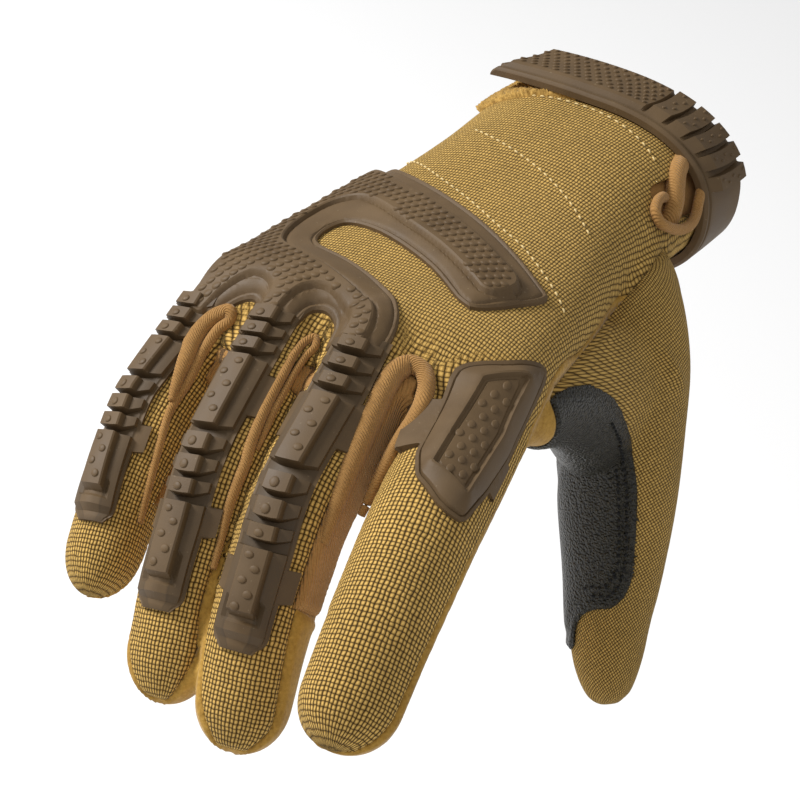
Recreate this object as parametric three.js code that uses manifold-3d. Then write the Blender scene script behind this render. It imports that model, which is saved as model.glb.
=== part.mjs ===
// Tactical glove for the right hand, standing in the form of a hand that wears it.
// Millimetres, +Z up. The origin is the centre of the wrist opening, the fingers point
// along -Y, the thumb side is +X and the back of the hand faces +Z.
import * as THREE from 'three';
import Module from 'manifold-3d';

const wasm = await Module();
wasm.setup();

// Driving dimensions
const WALL = 2; // fabric with its lining
const SEAM = 0.3; // gap between neighbouring panels
const LAID_ON = 0.4; // gap between the fabric and the guards laid on it
const ROUND = 2.3; // exponent of the hand's rounded sections, 2 is an ellipse
const SIDES = { palm: 24, finger: 10, thumb: 12 }; // facets round the outer form
const INSIDE = { palm: 14, finger: 7, thumb: 7 }; // facets round the hollow
const BEND_LENGTH = 18; // stretch over which a finger joint turns
const TIP_LENGTH = 13; // rounded end of a finger
const FINGER_ROOT = -30; // where a finger starts inside the hand, measured from its knuckle

const GUARD_FLANGE = 1.3; // thin moulded edge
const KNUCKLE_FLANGE = 2; // edge of the knuckle plate
const GUARD_PLATE = 4; // raised textured plates
const TIP_PLATE = 3.4; // pads near the finger tips
const INDEX_PLATE = 3.5; // frame of the index guard
const GUARD_RIB = 4.6; // cross ribs over the joints
const STRAP_WIDTH = 20.5;
const STRAP_START = 1.2; // from the mouth of the cuff to the strap
const STRAP_THICK = 2.6;
const STRAP_LIFT = 0.6; // clearance between strap and cuff
const STRAP_RIB = 2; // ribs stand this far above the strap
const STRAP_TAB = 1.4; // textured tab at the free end stands this far above it
const PATCH_THICK = 1.2; // leather patch on the thumb
const PATCH_LIFT = 0.75;
const SLIT_DEPTH = 36; // length of the vent slit in the cuff
const SLIT_HALF = 5.2;
const SLIT_ANGLE = 12; // place of the slit round the cuff, 0 is the thumb side
const BINDING = 1.8; // radius of the elastic binding
const CUFF_TURN = 1.35; // degrees in one millimetre round the cuff's side
const FINGER_TURN = 4.5; // degrees in one millimetre round a finger

// Sections of the hand along its length, measured from the mouth of the cuff
const PALM = [
  { t: 0, x: 0, z: 0, half: 33.5, back: 20.5, palm: 21.5, tilt: 0 },
  { t: 9, x: 0, z: 0, half: 33.5, back: 20.5, palm: 21.5, tilt: 0 },
  { t: 20, x: -0.5, z: 0, half: 34, back: 21.5, palm: 22, tilt: 2 },
  { t: 42, x: -1, z: -0.5, half: 34.5, back: 21, palm: 22, tilt: 5 },
  { t: 64, x: -2, z: -1, half: 37, back: 18.5, palm: 22, tilt: 6 },
  { t: 90, x: -2, z: -1.5, half: 42, back: 17, palm: 21, tilt: 7 },
  { t: 115, x: -2, z: -2, half: 46, back: 16.5, palm: 20, tilt: 7 },
  { t: 136, x: -1, z: -4, half: 48.5, back: 17, palm: 16.5, tilt: 6 },
  { t: 150, x: -0.5, z: -8, half: 45, back: 10, palm: 9.5, tilt: 9 },
];

// Fingers: knuckle point, angles in degrees, distances from the knuckle, half width and
// half depth at the knuckle, the middle joint and the end joint
const FINGERS = {
  index: {
    knuckle: [33.5, -133, -4], spread: 14.5, roll: 6, bend: [8, 16, 13],
    joints: [48, 76], length: 104.5, half: [13.2, 13, 12.4], depth: [12.2, 12, 11],
  },
  middle: {
    knuckle: [8, -136, 3.5], spread: 2, roll: -8, bend: [27, 22, 13],
    joints: [49, 79], length: 107, half: [12.4, 12.4, 12], depth: [12, 11.8, 11],
  },
  ring: {
    knuckle: [-16, -135, 0], spread: -1, roll: -14, bend: [29, 17, 10],
    joints: [45, 73], length: 101, half: [12, 11.8, 11.2], depth: [11.6, 11.2, 10.4],
  },
  pinky: {
    knuckle: [-39.5, -129, -8], spread: -15, roll: -29, bend: [31, 10, 8],
    joints: [36, 58], length: 83, half: [11.2, 10.8, 10.2], depth: [10.8, 10.2, 9.6],
  },
};

// Sections of the thumb from the heel of the hand to its tip
const THUMB = [
  { at: [16, -40, -8], half: 17, depth: 15 },
  { at: [27, -52, -14], half: 19, depth: 17 },
  { at: [36, -61, -24], half: 18.5, depth: 17 },
  { at: [42, -67, -38], half: 16.5, depth: 15.5 },
  { at: [47.5, -74, -56], half: 15, depth: 14 },
  { at: [52.5, -81.5, -70], half: 12.7, depth: 12 },
  { at: [56, -88, -80], half: 10.8, depth: 10.5 },
  { at: [60, -94.5, -88], half: 9, depth: 9 },
  { at: [63.5, -99, -94], half: 6, depth: 6 },
  { at: [65, -100.5, -96.5], half: 2.6, depth: 2.6 },
];

// Web of fabric between the thumb and the index finger
const WEB = [
  { at: [34, -138, -12], half: 6, depth: 6 },
  { at: [37, -120, -10], half: 8, depth: 9 },
  { at: [38, -104, -12], half: 9, depth: 12 },
  { at: [38.5, -88, -18], half: 11, depth: 16 },
  { at: [39, -74, -26], half: 13, depth: 20 },
  { at: [37, -62, -28], half: 13, depth: 18 },
];

const rad = THREE.MathUtils.degToRad;
const lerp = THREE.MathUtils.lerp;
const clamp = THREE.MathUtils.clamp;

// Value of one column of a table at any station, straight between the rows
function tableAt(rows, key, column, value) {
  const last = rows.length - 1;
  let i = 0;
  while (i < last - 1 && value > rows[i + 1][key]) i += 1;
  const part = (value - rows[i][key]) / (rows[i + 1][key] - rows[i][key]);
  return lerp(rows[i][column], rows[i + 1][column], clamp(part, 0, 1));
}

// Closed solid from an indexed surface, turned so that its faces point out
function solid(points, triangles) {
  const volume = triangles.reduce((sum, [a, b, c]) => {
    const cross = points[b].clone().cross(points[c]);
    return sum + points[a].dot(cross);
  }, 0);
  const faces = volume < 0 ? triangles.map(([a, b, c]) => [a, c, b]) : triangles;
  const mesh = new wasm.Mesh({
    numProp: 3,
    vertProperties: new Float32Array(points.flatMap((p) => p.toArray())),
    triVerts: new Uint32Array(faces.flat()),
  });
  return new wasm.Manifold(mesh);
}

// Solid skinned over a row of rings, each end closed by a fan
function loft(rings) {
  const sides = rings[0].length;
  const points = rings.flat();
  const triangles = [];
  for (let r = 0; r < rings.length - 1; r += 1) {
    for (let i = 0; i < sides; i += 1) {
      const a = r * sides + i;
      const b = r * sides + ((i + 1) % sides);
      triangles.push([a, b, a + sides], [b, b + sides, a + sides]);
    }
  }
  for (const end of [0, rings.length - 1]) {
    const middle = new THREE.Vector3();
    rings[end].forEach((p) => middle.addScaledVector(p, 1 / sides));
    const hub = points.push(middle) - 1;
    for (let i = 0; i < sides; i += 1) {
      const a = end * sides + i;
      const b = end * sides + ((i + 1) % sides);
      triangles.push(end === 0 ? [b, a, hub] : [a, b, hub]);
    }
  }
  return solid(points, triangles);
}

// Curved block between two lifts above a surface. place(u, v, lift) gives a point, and a
// lift is a number or a function of u and v.
function slab(place, us, vs, low, high) {
  const points = [];
  const index = (i, j, k) => (i * vs.length + j) * 2 + k;
  const liftOf = (lift, u, v) => (typeof lift === 'function' ? lift(u, v) : lift);
  us.forEach((u) => vs.forEach((v) => points.push(
    place(u, v, liftOf(low, u, v)),
    place(u, v, liftOf(high, u, v)),
  )));
  const triangles = [];
  const quad = (a, b, c, d) => triangles.push([a, b, c], [a, c, d]);
  for (let i = 0; i < us.length - 1; i += 1) {
    for (let j = 0; j < vs.length - 1; j += 1) {
      quad(index(i, j, 1), index(i + 1, j, 1), index(i + 1, j + 1, 1), index(i, j + 1, 1));
      quad(index(i, j, 0), index(i, j + 1, 0), index(i + 1, j + 1, 0), index(i + 1, j, 0));
    }
  }
  const lastV = vs.length - 1;
  for (let i = 0; i < us.length - 1; i += 1) {
    quad(index(i, 0, 0), index(i + 1, 0, 0), index(i + 1, 0, 1), index(i, 0, 1));
    quad(index(i, lastV, 0), index(i, lastV, 1), index(i + 1, lastV, 1), index(i + 1, lastV, 0));
  }
  const lastU = us.length - 1;
  for (let j = 0; j < vs.length - 1; j += 1) {
    quad(index(0, j, 0), index(0, j, 1), index(0, j + 1, 1), index(0, j + 1, 0));
    quad(index(lastU, j, 0), index(lastU, j + 1, 0), index(lastU, j + 1, 1), index(lastU, j, 1));
  }
  return solid(points, triangles);
}

// Evenly spaced values from one end to the other
function steps(from, to, count) {
  return Array.from({ length: count + 1 }, (_, i) => lerp(from, to, i / count));
}

// Angles of the corners round a section, in degrees
const around = (sides) => steps(0, 360 - 360 / sides, sides - 1);

const join = (parts) => wasm.Manifold.union(parts);

// The largest connected body of a solid
function mainBody(shape) {
  return shape.decompose().reduce((a, b) => (b.volume() > a.volume() ? b : a));
}

// Palm section

// Puts a point of a section, given in its own width and height, into the hand's frame
function fromSection(t, x, z) {
  const tilt = rad(tableAt(PALM, 't', 'tilt', t));
  return new THREE.Vector3(
    tableAt(PALM, 't', 'x', t) + x * Math.cos(tilt) - z * Math.sin(tilt),
    -t,
    tableAt(PALM, 't', 'z', t) + x * Math.sin(tilt) + z * Math.cos(tilt),
  );
}

// Point round the hand, 0 degrees is the thumb side and 90 the back
function roundHand(t, degrees, lift) {
  const c = Math.cos(rad(degrees));
  const s = Math.sin(rad(degrees));
  const power = 2 / ROUND;
  const half = tableAt(PALM, 't', 'half', t) + lift;
  const height = tableAt(PALM, 't', s > 0 ? 'back' : 'palm', t) + lift;
  const x = half * Math.sign(c) * Math.abs(c) ** power;
  const z = height * Math.sign(s) * Math.abs(s) ** power;
  return fromSection(t, x, z);
}

// Point on the back of the hand by its sideways place, lifted off the surface
function onBack(x, t, lift) {
  const half = tableAt(PALM, 't', 'half', t) + lift;
  const height = tableAt(PALM, 't', 'back', t) + lift;
  const z = height * Math.max(1 - Math.abs(x / half) ** ROUND, 0) ** (1 / ROUND);
  return fromSection(t, x, z);
}

function palmLoft(grow, sides) {
  const stations = PALM.map((row) => row.t);
  if (grow !== 0) stations[0] = -Math.abs(grow);
  stations[stations.length - 1] += grow;
  return loft(stations.map((t) => {
    return around(sides).map((a) => roundHand(t, a, grow));
  }));
}

// Finger

const smooth = (x) => THREE.MathUtils.smoothstep(x, 0, 1);

// Frame of a finger: the direction in which it leaves the hand, its side and its back
function fingerFrame(finger) {
  const spread = rad(finger.spread);
  const roll = rad(finger.roll);
  const side = new THREE.Vector3(Math.cos(spread), Math.sin(spread), 0);
  const up = new THREE.Vector3(0, 0, 1);
  return {
    ahead: new THREE.Vector3(Math.sin(spread), -Math.cos(spread), 0),
    back: up.clone().multiplyScalar(Math.cos(roll)).addScaledVector(side, Math.sin(roll)),
    side: side.clone().multiplyScalar(Math.cos(roll)).addScaledVector(up, -Math.sin(roll)),
  };
}

// How far a finger has bent down at a distance from its knuckle, in radians
function bentBy(finger, s) {
  const starts = [0, ...finger.joints];
  return starts.reduce(
    (sum, start, i) => sum + rad(finger.bend[i]) * smooth((s - start) / BEND_LENGTH + 0.5),
    0,
  );
}

// Centre line of a finger at a distance from its knuckle, summed in short steps
function fingerAt(finger, s) {
  const frame = fingerFrame(finger);
  const at = new THREE.Vector3(...finger.knuckle);
  const count = Math.max(1, Math.ceil(Math.abs(s)));
  const step = s / count;
  for (let i = 0; i < count; i += 1) {
    const bent = bentBy(finger, (i + 0.5) * step);
    at.addScaledVector(frame.ahead, Math.cos(bent) * step);
    at.addScaledVector(frame.back, -Math.sin(bent) * step);
  }
  const bent = bentBy(finger, s);
  const out = frame.back.clone().multiplyScalar(Math.cos(bent));
  out.addScaledVector(frame.ahead, Math.sin(bent));
  return { at, side: frame.side, out };
}

// Point on a finger: distance from the knuckle, degrees round it, lift off the surface
function onFinger(finger, s, degrees, lift, length = finger.length) {
  const { at, side, out } = fingerAt(finger, s);
  const [h0, h1, h2] = finger.half;
  const [d0, d1, d2] = finger.depth;
  const rows = [
    { s: -34, half: h0 - 2, depth: d0 - 4 },
    { s: 0, half: h0, depth: d0 },
    { s: finger.joints[0], half: h1, depth: d1 },
    { s: finger.joints[1], half: h2, depth: d2 },
    { s: finger.length, half: h2 - 0.6, depth: d2 - 1 },
  ];
  const into = clamp((s - length + TIP_LENGTH) / TIP_LENGTH, 0, 1);
  const taper = Math.sqrt(1 - into ** 2.2);
  const half = (tableAt(rows, 's', 'half', s) + lift) * taper;
  const depth = (tableAt(rows, 's', 'depth', s) + lift) * taper;
  return at
    .addScaledVector(side, half * Math.cos(rad(degrees)))
    .addScaledVector(out, depth * Math.sin(rad(degrees)));
}

// Stations of the sections between a finger's root and its tip
function fingerStations(finger) {
  const [middle, end] = finger.joints;
  return [-4, middle / 2, middle - 5, middle + 7, end + 1, finger.length - 11];
}

function fingerLoft(finger, grow, sides) {
  const length = finger.length + grow;
  const tip = (grow < 0 ? [3, 0.3] : [5, 1.8, 0.2]).map((s) => length - s);
  const stations = [FINGER_ROOT, ...fingerStations(finger), ...tip];
  return loft(stations.map((s) => around(sides)
    .map((a) => onFinger(finger, s, a, grow, length))));
}

// Thumb and web: tubes through their section tables

// Point on such a tube: place in the table, degrees round it, lift off the surface
function onTube(table, place, degrees, lift) {
  const last = table.length - 1;
  const i = clamp(Math.floor(place), 0, last - 1);
  const part = place - i;
  const point = (k) => new THREE.Vector3(...table[clamp(k, 0, last)].at);
  const along = (k) => point(k + 1).sub(point(k - 1)).normalize();
  const ahead = along(i).lerp(along(i + 1), part).normalize();
  const side = ahead.clone().cross(new THREE.Vector3(0, -1, 0)).normalize();
  const out = side.clone().cross(ahead);
  const size = (column) => lerp(table[i][column], table[i + 1][column], part) + lift;
  return point(i).lerp(point(i + 1), part)
    .addScaledVector(side, size('half') * Math.cos(rad(degrees)))
    .addScaledVector(out, size('depth') * Math.sin(rad(degrees)));
}

function tubeLoft(table, rows, grow, sides) {
  return loft(rows.map((row) => around(sides).map((a) => onTube(table, row, a, grow))));
}

// The whole hand form, grown or shrunk by a distance
function handForm(grow) {
  const sides = grow < 0 ? INSIDE : SIDES;
  const thumbRows = THUMB.map((_, i) => i);
  if (grow < 0) thumbRows.pop();
  return join([
    palmLoft(grow, sides.palm),
    ...Object.values(FINGERS).map((finger) => fingerLoft(finger, grow, sides.finger)),
    tubeLoft(THUMB, thumbRows, grow, sides.thumb),
    tubeLoft(WEB, WEB.map((_, i) => i), grow, sides.thumb),
  ]);
}

const outer = handForm(0);
const clear = handForm(LAID_ON);
const shell = outer.subtract(handForm(-WALL));

// Regions that cut the shell into its panels. Each grows by a gap, so that the panel
// beside it stays clear.

const REACH = 5; // how far a region stands out beyond the shell
const SIDE_SEAM = { hand: -10, finger: -12 }; // degrees from the middle of the side

// Everything above the seam that runs round the side of the hand and the fingers
function backRegion(gap) {
  const seam = SIDE_SEAM.hand - gap;
  const stations = PALM.map((row) => row.t);
  stations[0] = -REACH;
  const hand = loft(stations.map((t) => steps(seam, 180 - seam, 10)
    .map((a) => roundHand(t, a, REACH))));
  const fingers = Object.values(FINGERS).map((finger) => {
    const side = SIDE_SEAM.finger - gap * FINGER_TURN;
    const rings = fingerStations(finger).map((s) => steps(side, 180 - side, 6)
      .map((a) => onFinger(finger, s, a, REACH)));
    const tip = fingerAt(finger, finger.length + REACH).at;
    const ahead = tip.clone().sub(fingerAt(finger, finger.length - 10).at);
    rings.push(rings[rings.length - 1].map((p) => p.clone().add(ahead)));
    return loft(rings);
  });
  return join([hand, ...fingers]);
}

// The thumb side, beyond a slanting plane through the seam at the thumb's root
const THUMB_SEAM = { top: [34, -40], bottom: [45, -116], lean: 0.5, slope: 1.3 };
function thumbRegion(gap) {
  const heights = [-110, 40];
  const shift = gap * THUMB_SEAM.slope;
  const corner = ([x, y], z) => new THREE.Vector3(x + THUMB_SEAM.lean * z - shift, y, z);
  const far = 110;
  const { top, bottom } = THUMB_SEAM;
  const rings = [[top, gap], [bottom, -gap]].map(([[x, y], grow]) => [
    corner([x, y + grow], heights[0]),
    new THREE.Vector3(far, y + grow, heights[0]),
    new THREE.Vector3(far, y + grow, heights[1]),
    corner([x, y + grow], heights[1]),
  ]);
  return loft(rings);
}

// The strips between two neighbouring fingers and the crotch that joins them
const FOURCHETTES = [
  { left: 'middle', right: 'index', arc: 38 },
  { left: 'ring', right: 'middle', arc: 34 },
  { left: 'pinky', right: 'ring', arc: 34 },
];
const FOURCHETTE_START = 8; // from the knuckle
const FOURCHETTE_CUT = { low: -4, high: 1.4 }; // the cut runs through the wall
const CROTCH = { s: 17, half: 4.4, length: 6, low: -12, high: 7 };

function fourchetteRegion({ left, right, arc }, gap) {
  const strip = (finger, middle) => {
    const wide = arc + gap * FINGER_TURN;
    const us = fingerStations(finger);
    us[0] = FOURCHETTE_START - gap;
    us[us.length - 1] += gap;
    const vs = steps(middle - wide, middle + wide, 3);
    const place = (s, a, lift) => onFinger(finger, s, a, lift);
    return slab(place, us, vs, FOURCHETTE_CUT.low - gap, FOURCHETTE_CUT.high + gap);
  };
  const a = fingerAt(FINGERS[left], CROTCH.s).at;
  const b = fingerAt(FINGERS[right], CROTCH.s).at;
  const centre = a.add(b).multiplyScalar(0.5);
  const crotch = slab(
    (x, y, z) => new THREE.Vector3(centre.x + x, centre.y + y, centre.z + z),
    [-CROTCH.half - gap, CROTCH.half + gap],
    [-CROTCH.length - gap, CROTCH.length + gap],
    CROTCH.low - gap,
    CROTCH.high + gap,
  );
  return join([strip(FINGERS[left], 0), strip(FINGERS[right], 180), crotch]);
}

// Slot through the cuff wall with a rounded end
function slitRegion() {
  const length = SLIT_DEPTH - SLIT_HALF;
  const place = (t, side, lift) => {
    const beyond = Math.max(t - length, 0);
    const wide = Math.sqrt(Math.max(SLIT_HALF ** 2 - beyond ** 2, 0.04));
    return roundHand(t, SLIT_ANGLE + side * wide * CUFF_TURN, lift);
  };
  const ts = [-3, 10, 20, length, length + 2.6, length + 4.4, SLIT_DEPTH];
  return slab(place, ts, [-1, 0, 1], -2 * WALL, REACH);
}

const thumbArea = thumbRegion(0);
const fourchetteGaps = FOURCHETTES.map((row) => fourchetteRegion(row, SEAM));
const taken = join([thumbRegion(SEAM), ...fourchetteGaps]);
const cuffShell = shell.subtract(slitRegion());

const backPanel = mainBody(cuffShell.intersect(backRegion(0)).subtract(taken));
const palmPanel = mainBody(cuffShell.subtract(backRegion(SEAM)).subtract(taken));
const thumbShell = mainBody(shell.intersect(thumbArea));
const fourchettes = FOURCHETTES.map((row) => {
  const others = FOURCHETTES.filter((other) => other !== row);
  const region = fourchetteRegion(row, 0).subtract(thumbRegion(SEAM));
  return mainBody(shell.intersect(region).subtract(
    join(others.map((other) => fourchetteRegion(other, SEAM))),
  ));
});

// Knuckle guard: one moulding, a chevron plate across the back of the hand, a plate over
// three knuckles joined to it on the little finger's side, and a strip along each finger

// Edges of the chevron across the hand, as distances from the mouth
const CHEVRON = [
  { x: -37.5, outer: 76, upper: 79, lower: 103, inner: 106 },
  { x: -32, outer: 63, upper: 68, lower: 92, inner: 101 },
  { x: -22, outer: 71.5, upper: 78.5, lower: 91, inner: 100 },
  { x: -10, outer: 77.5, upper: 84.5, lower: 97, inner: 104.5 },
  { x: 5, outer: 85, upper: 92.5, lower: 104.5, inner: 110.5 },
  { x: 20, outer: 93.5, upper: 101, lower: 113.5, inner: 119 },
  { x: 30, outer: 99.5, upper: 106.5, lower: 116, inner: 122.5 },
  { x: 37, outer: 104, inner: 110, upper: 106, lower: 109 },
];
// Edges of the knuckle plate: window side and finger side
const KNUCKLE_PLATE = [
  { x: -41.5, outer: 101, upper: 99, lower: 138, inner: 141 },
  { x: -30, outer: 98, upper: 117, lower: 135.5, inner: 140 },
  { x: -24, outer: 114, upper: 122, lower: 138, inner: 140.5 },
  { x: -11, outer: 119, upper: 129, lower: 133.5, inner: 139 },
  { x: -2, outer: 123, upper: 133, lower: 138, inner: 141 },
  { x: 5, outer: 127, upper: 137, lower: 143, inner: 145 },
  { x: 12, outer: 135, upper: 138, lower: 140, inner: 143 },
];
// Strips on the fingers: where ribs and pads lie along the finger
const STRIPS = [
  {
    finger: 'middle', centre: 89, ribs: [10, 15.5, 21], pad: [25, 43.5],
    jointRibs: [47.6, 52.2, 56.8], tipPad: [60.3, 81], tabs: [[24, 37], [64, 72]],
  },
  {
    finger: 'ring', centre: 92, ribs: [7.5, 12, 16.7], pad: [20, 39.5],
    jointRibs: [43.4, 47.8, 52.3], tipPad: [55.8, 78], tabs: [[23, 35], [55.6, 63]],
  },
  {
    finger: 'pinky', centre: 80, ribs: [8.5, 13, 17.6], pad: [20.6, 31],
    jointRibs: [34.4, 38.8, 43.2], tipPad: [46.2, 65], tabs: [[43.4, 49.5]],
  },
];
const RIB_LENGTH = 3.3;
const RIB_GAP = 1.2;
const STRIP_ROOT = -7; // the strips start under the knuckle plate
// Across a strip: degrees from its middle line and share of the rib's height
const STRIP_PROFILE = [
  { turn: -33, share: 0 },
  { turn: -14, share: 1 },
  { turn: 14, share: 1 },
  { turn: 33, share: 0 },
];
const TAB = { turn: 48, drop: 0.2 }; // side tabs reach round the finger, just below the flange
const SUNK = -1.5; // flanges over the hand start inside it and are trimmed to it
const CLEAR_OF_FINGER = 0.8; // lift of the flanges on the fingers, which need no trim
const TRIMMED_TO = 26; // distance from the knuckle up to which the strips are trimmed
const SEATED = 1; // raised blocks start inside their flange

function acrossBack(rows, from, to, low, high) {
  const place = (i, v, lift) => onBack(rows[i].x, lerp(rows[i][from], rows[i][to], v), lift);
  return slab(place, rows.map((_, i) => i), [0, 1], low, high);
}

// One finger's strip: a flange with the ribs and pads rising from it, and flat side tabs
function fingerStrip({ finger, centre, ribs, pad, jointRibs, tipPad, tabs }) {
  const shape = FINGERS[finger];
  const flange = CLEAR_OF_FINGER + GUARD_FLANGE;
  const rib = (s) => ({ from: s - RIB_LENGTH / 2, to: s + RIB_LENGTH / 2, top: GUARD_RIB });
  const bumps = [
    { from: STRIP_ROOT, to: ribs[0] - RIB_LENGTH / 2 - RIB_GAP, top: GUARD_PLATE },
    ...ribs.map(rib),
    { from: pad[0], to: pad[1], top: GUARD_PLATE },
    ...jointRibs.map(rib),
    { from: tipPad[0], to: tipPad[1], top: TIP_PLATE },
  ];
  const stations = bumps.flatMap(({ from, to, top }, i) => [
    { s: i === 0 ? from - 1 : (from + bumps[i - 1].to) / 2, top: flange },
    { s: from, top },
    { s: to, top },
  ]);
  stations.push({ s: tipPad[1] + 0.6, top: flange }, { s: tipPad[1] + 1.8, top: flange });
  const low = (s) => (s < TRIMMED_TO ? SUNK : CLEAR_OF_FINGER);
  const strip = slab(
    ({ s }, { turn }, lift) => onFinger(shape, s, centre + turn, lift),
    stations,
    STRIP_PROFILE,
    ({ s }) => low(s),
    ({ top }, { share }) => lerp(flange, top, share),
  );
  return join([strip, ...tabs.map(([from, to]) => slab(
    (s, turn, lift) => onFinger(shape, s, centre + turn, lift),
    steps(from, to, 1),
    steps(-TAB.turn, TAB.turn, 6),
    low,
    flange - TAB.drop,
  ))]);
}

const knuckleGuard = mainBody(join([
  acrossBack(CHEVRON, 'outer', 'inner', SUNK, GUARD_FLANGE),
  acrossBack(CHEVRON.slice(0, -1), 'upper', 'lower', SEATED, GUARD_PLATE),
  acrossBack(KNUCKLE_PLATE, 'outer', 'inner', SUNK, KNUCKLE_FLANGE),
  acrossBack(KNUCKLE_PLATE.slice(0, -1), 'upper', 'lower', SEATED, GUARD_PLATE),
  ...STRIPS.map(fingerStrip),
]).subtract(clear));

// Index guard: a bevelled frame with a sunken panel and two side wings. Its ends, as
// distances from the knuckle, at angles round the finger
const INDEX_OUTLINE = [
  { angle: 38, start: -7, end: 41 },
  { angle: 56, start: -8, end: 45.5 },
  { angle: 76, start: -3.5, end: 45.5 },
  { angle: 98, start: 2, end: 41 },
  { angle: 121, start: 9, end: 34 },
];
const INDEX_WINGS = [
  { from: 25, to: 60, start: 22, end: 34.5 },
  { from: 100, to: 152, start: 14.5, end: 30.5 },
];
const INDEX_FRAME = { centre: 80, reach: 41, bevel: 2.2, panel: 5, drop: 1.2 };

// Block over the outline drawn in by some millimetres on all sides
function indexBlock(inset, low, high) {
  const share = 1 - (inset * FINGER_TURN) / INDEX_FRAME.reach;
  const place = ({ angle, start, end }, v, lift) => {
    const s = lerp(start + inset, end - inset, v);
    const turned = lerp(INDEX_FRAME.centre, angle, share);
    return onFinger(FINGERS.index, s, turned, lift);
  };
  return slab(place, INDEX_OUTLINE, steps(0, 1, 4), low, high);
}

const indexWings = INDEX_WINGS.map(({ from, to, start, end }) => slab(
  (s, a, lift) => onFinger(FINGERS.index, s, a, lift),
  steps(start, end, 2),
  steps(from, to, 4),
  SUNK,
  GUARD_FLANGE - TAB.drop,
));
const panelFloor = INDEX_PLATE - INDEX_FRAME.drop;
const indexGuard = mainBody(
  join([
    indexBlock(0, SUNK, GUARD_FLANGE),
    ...indexWings,
    indexBlock(INDEX_FRAME.bevel, SEATED, INDEX_PLATE),
  ]).subtract(join([
    indexBlock(INDEX_FRAME.panel, panelFloor, REACH),
    clear,
  ])),
);

// Leather patch on the inner side of the thumb
const THUMB_PATCH = [
  { row: 2.85, from: -25, to: 42 },
  { row: 3.2, from: -35, to: 74 },
  { row: 4, from: -40, to: 98 },
  { row: 5, from: -40, to: 104 },
  { row: 5.7, from: -40, to: 92 },
  { row: 6.3, from: -38, to: 56 },
  { row: 7.2, from: -30, to: 22 },
];
const thumbPatch = slab(
  (i, v, lift) => {
    const { row, from, to } = THUMB_PATCH[i];
    return onTube(THUMB, row, lerp(from, to, v), lift);
  },
  THUMB_PATCH.map((_, i) => i),
  steps(0, 1, 7),
  PATCH_LIFT,
  PATCH_LIFT + PATCH_THICK,
).subtract(clear);

// Wrist strap: it follows the cuff from the heel of the palm round the thumb side, and
// its free end runs straight across the top
const STRAP_TOP = { x: -30, sag: 2, slant: 5 }; // free end: reach, droop and slanting end
const STRAP_RIBS = [66, 54.5, 43, 31, 18]; // degrees round the cuff
const RIB_DEGREES = 3.4;
const STRAP_MARGINS = { mouth: 0.8, ribs: 0.8, tab: 3.2 }; // bare edges beside the ribs and the tab
const STRAP_SEAT = 1; // ribs and tab start this far inside the strap

// Point on the strap: a value up to 90 is degrees round the cuff, and beyond that each
// unit is a millimetre along the free end
function onStrap(along, t, lift) {
  if (along <= 90) return roundHand(t, along, lift);
  const top = roundHand(t, 90, lift);
  const reach = (along - 90) / (top.x - STRAP_TOP.x);
  const slant = (STRAP_TOP.slant * (STRAP_WIDTH - t)) / STRAP_WIDTH;
  return new THREE.Vector3(
    top.x - (along - 90) + slant * reach,
    -t,
    top.z - STRAP_TOP.sag * reach ** 2,
  );
}

const strapEdges = [STRAP_START, STRAP_START + STRAP_WIDTH];
const strapRoute = [...steps(-130, 90, 22), 98, 106, 114, 119.5];
const strapTop = STRAP_LIFT + STRAP_THICK;

// Raised block on the strap
function onStrapBlock(route, margin, height) {
  const edges = [strapEdges[0] + STRAP_MARGINS.mouth, strapEdges[1] - margin];
  return slab(onStrap, route, edges, strapTop - STRAP_SEAT, strapTop + height);
}

const wristStrap = join([
  slab(onStrap, strapRoute, strapEdges, STRAP_LIFT, strapTop),
  ...STRAP_RIBS.map((middle) => {
    const route = [middle - RIB_DEGREES, middle + RIB_DEGREES];
    return onStrapBlock(route, STRAP_MARGINS.ribs, STRAP_RIB);
  }),
  onStrapBlock([72, 81, 90, 98, 106, 116.5], STRAP_MARGINS.tab, STRAP_TAB),
]);

// Hook and loop patch on the cuff under the strap's free end
const HOOK_PATCH = { from: 118, to: 152, start: 2.5, end: 24, low: 0.5, high: 1.7 };
const hookPatch = slab(
  (a, t, lift) => roundHand(t, a, lift),
  steps(HOOK_PATCH.from, HOOK_PATCH.to, 7),
  [HOOK_PATCH.start, 9, 16, HOOK_PATCH.end],
  HOOK_PATCH.low,
  HOOK_PATCH.high,
);

// Elastic binding round the end of the slit: two legs and a half turn between them
const BINDING_LIFT = -0.6; // its centre line lies just inside the cuff's outer face
function bindingRoute() {
  const legs = SLIT_HALF - SEAM - BINDING;
  const start = STRAP_START + STRAP_WIDTH + 1;
  const turnAt = SLIT_DEPTH - SLIT_HALF;
  const at = (side, t) => roundHand(t, SLIT_ANGLE + side * CUFF_TURN, BINDING_LIFT);
  const turn = steps(180, 0, 8).map((a) => at(
    legs * Math.cos(rad(a)),
    turnAt + legs * Math.sin(rad(a)),
  ));
  return [at(-legs, start), ...turn, at(legs, start)];
}

function tubeAlong(points, radius, sides) {
  const rings = points.map((p, i) => {
    const before = points[Math.max(i - 1, 0)];
    const after = points[Math.min(i + 1, points.length - 1)];
    const ahead = after.clone().sub(before).normalize();
    const out = new THREE.Vector3(1, 0, 0);
    out.addScaledVector(ahead, -out.dot(ahead)).normalize();
    const side = ahead.clone().cross(out);
    return steps(0, 360 - 360 / sides, sides - 1).map((a) => p.clone()
      .addScaledVector(out, radius * Math.cos(rad(a)))
      .addScaledVector(side, radius * Math.sin(rad(a))));
  });
  return loft(rings);
}

const cuffPanels = join([backPanel, palmPanel, thumbShell]);
const slitBinding = mainBody(tubeAlong(bindingRoute(), BINDING, 6).subtract(cuffPanels));

// Scene graph

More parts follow.
